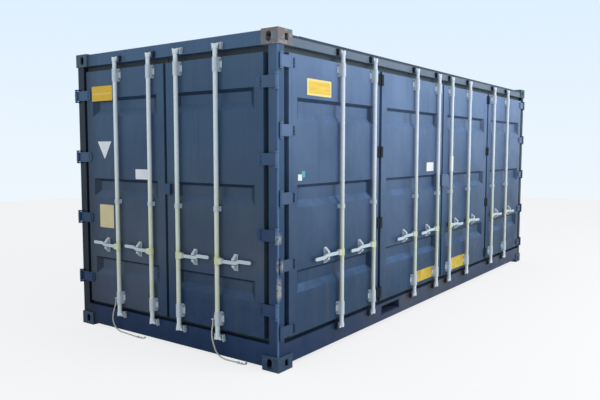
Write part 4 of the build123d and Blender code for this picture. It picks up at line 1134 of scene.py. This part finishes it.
# Routes of the two hold-back ropes on the door end, in metres: across, inward from the castings, and up
LEFT_ROPE = [
    (-0.676, -0.018, 0.318), (-0.676, -0.018, 0.280), (-0.700, -0.022, 0.218), (-0.7205, -0.026, 0.150),
    (-0.7175, -0.025, 0.086), (-0.6855, -0.018, 0.034), (-0.6295, -0.012, 0.0095), (-0.5645, -0.010, 0.0065),
    (-0.4995, -0.013, 0.0065), (-0.4415, -0.022, 0.0065), (-0.3835, -0.022, 0.0065),
]
RIGHT_ROPE = [
    (0.560, -0.020, 0.318), (0.560, -0.020, 0.282), (0.563, -0.038, 0.232), (0.568, -0.043, 0.172),
    (0.5825, -0.036, 0.112), (0.5945, -0.026, 0.060), (0.6265, -0.012, 0.020), (0.6825, -0.009, 0.0065),
    (0.7465, -0.006, 0.0065), (0.8065, -0.006, 0.0065),
]


def on_end(route):
    """A route on the door end, in the frame's own places."""
    return [(END_PLANE + inward, MIDDLE.y - across, height) for across, inward, height in route]


def centreline(name, points):
    """The points of the smooth line through a route's space."""
    curve = bpy.data.curves.new(name, "CURVE")
    curve.dimensions = "3D"
    spline = curve.splines.new("NURBS")
    spline.points.add(len(points) - 1)
    for knot, point in zip(spline.points, points):
        knot.co = (*point, 1.0)
    spline.order_u = 3
    spline.use_endpoint_u = True
    spline.resolution_u = 16
    mesh = plain_mesh(add_object(name + "_line", curve))
    line = [vert.co.copy() for vert in mesh.vertices]
    bpy.data.meshes.remove(mesh)
    return line


def laid_rope(name, line, diameter):
    """A laid rope along a line: a tube whose section has a lobe for each strand and turns along it."""
    lay = diameter * ROPE_LAY
    step = diameter * ROPE_STEP
    fine = [line[0]]
    for first, second in zip(line, line[1:]):
        parts = max(1, int((second - first).length / step))
        fine += [first.lerp(second, (i + 1) / parts) for i in range(parts)]
    shape = bmesh.new()
    up = Vector((1, 0, 0))
    run = 0.0
    rings = []
    for i, point in enumerate(fine):
        ahead = (fine[min(i + 1, len(fine) - 1)] - fine[max(i - 1, 0)]).normalized()
        up = (up - ahead * up.dot(ahead)).normalized()
        across = ahead.cross(up)
        if i:
            run += (point - fine[i - 1]).length
        twist = 2 * math.pi * run / (lay * ROPE_STRANDS)
        ring = []
        for side in range(ROPE_SIDES):
            turn = 2 * math.pi * side / ROPE_SIDES
            lobe = abs(math.cos(ROPE_STRANDS / 2 * (turn - twist)))
            reach = diameter / 2 * (ROPE_VALLEY + (1 - ROPE_VALLEY) * lobe ** 0.7)
            ring.append(shape.verts.new(point + (up * math.cos(turn) + across * math.sin(turn)) * reach))
        rings.append(ring)
    bridge(shape, rings)
    return from_bmesh(name, shape, smooth=True)


class STORE_OT_ropes(bpy.types.Operator):
    """Hang the two hold-back ropes from the end doors"""

    bl_idname = "store.ropes"
    bl_label = "Hold-back ropes"

    def execute(self, context):
        diameter = context.scene.store_ropes.diameter
        fibre = bpy.data.materials["rope_fibre"]
        for name, points, body in (("left_rope", LEFT_ROPE, "left_door"),
                                   ("right_rope", RIGHT_ROPE, "right_door")):
            route = on_end(points)
            line = centreline(name, route)
            piece = mesh_piece(name + "_laid", laid_rope(name, line, diameter), fibre, body)
            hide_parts(name)
        return {"FINISHED"}


class VIEW3D_PT_bunded_store(bpy.types.Panel):
    """Buttons for each piece group of the bunded store"""

    bl_label = "Bunded store"
    bl_idname = "VIEW3D_PT_bunded_store"
    bl_space_type = "VIEW_3D"
    bl_region_type = "UI"
    bl_category = "Bunded store"

    def draw(self, context):
        for operator in OPERATORS:
            self.layout.operator(operator.bl_idname)


SETTINGS = {
    "store_studio": StoreStudio,
    "store_paint": StorePaint,
    "store_fixings": StoreFixings,
    "store_grating": StoreGrating,
    "store_ropes": StoreRopes,
}
OPERATORS = [STORE_OT_stage, STORE_OT_finishes, STORE_OT_ropes, STORE_OT_grating, STORE_OT_plates,
             STORE_OT_fixings, STORE_OT_welds]


def register():
    """Register the classes and hang the settings on the scene."""
    for group in SETTINGS.values():
        bpy.utils.register_class(group)
    for operator in OPERATORS:
        bpy.utils.register_class(operator)
    bpy.utils.register_class(VIEW3D_PT_bunded_store)
    for name, group in SETTINGS.items():
        setattr(bpy.types.Scene, name, bpy.props.PointerProperty(type=group))


def unregister():
    """Take the settings off the scene and unregister the classes."""
    for name in SETTINGS:
        delattr(bpy.types.Scene, name)
    bpy.utils.unregister_class(VIEW3D_PT_bunded_store)
    for operator in reversed(OPERATORS):
        bpy.utils.unregister_class(operator)
    for group in SETTINGS.values():
        bpy.utils.unregister_class(group)


def main():
    """Make every piece in order."""
    register()
    bpy.ops.store.stage()
    bpy.ops.store.finishes()
    bpy.ops.store.ropes()
    bpy.ops.store.grating()
    bpy.ops.store.plates()
    bpy.ops.store.fixings()
    bpy.ops.store.welds()


if __name__ == "__main__":
    main()
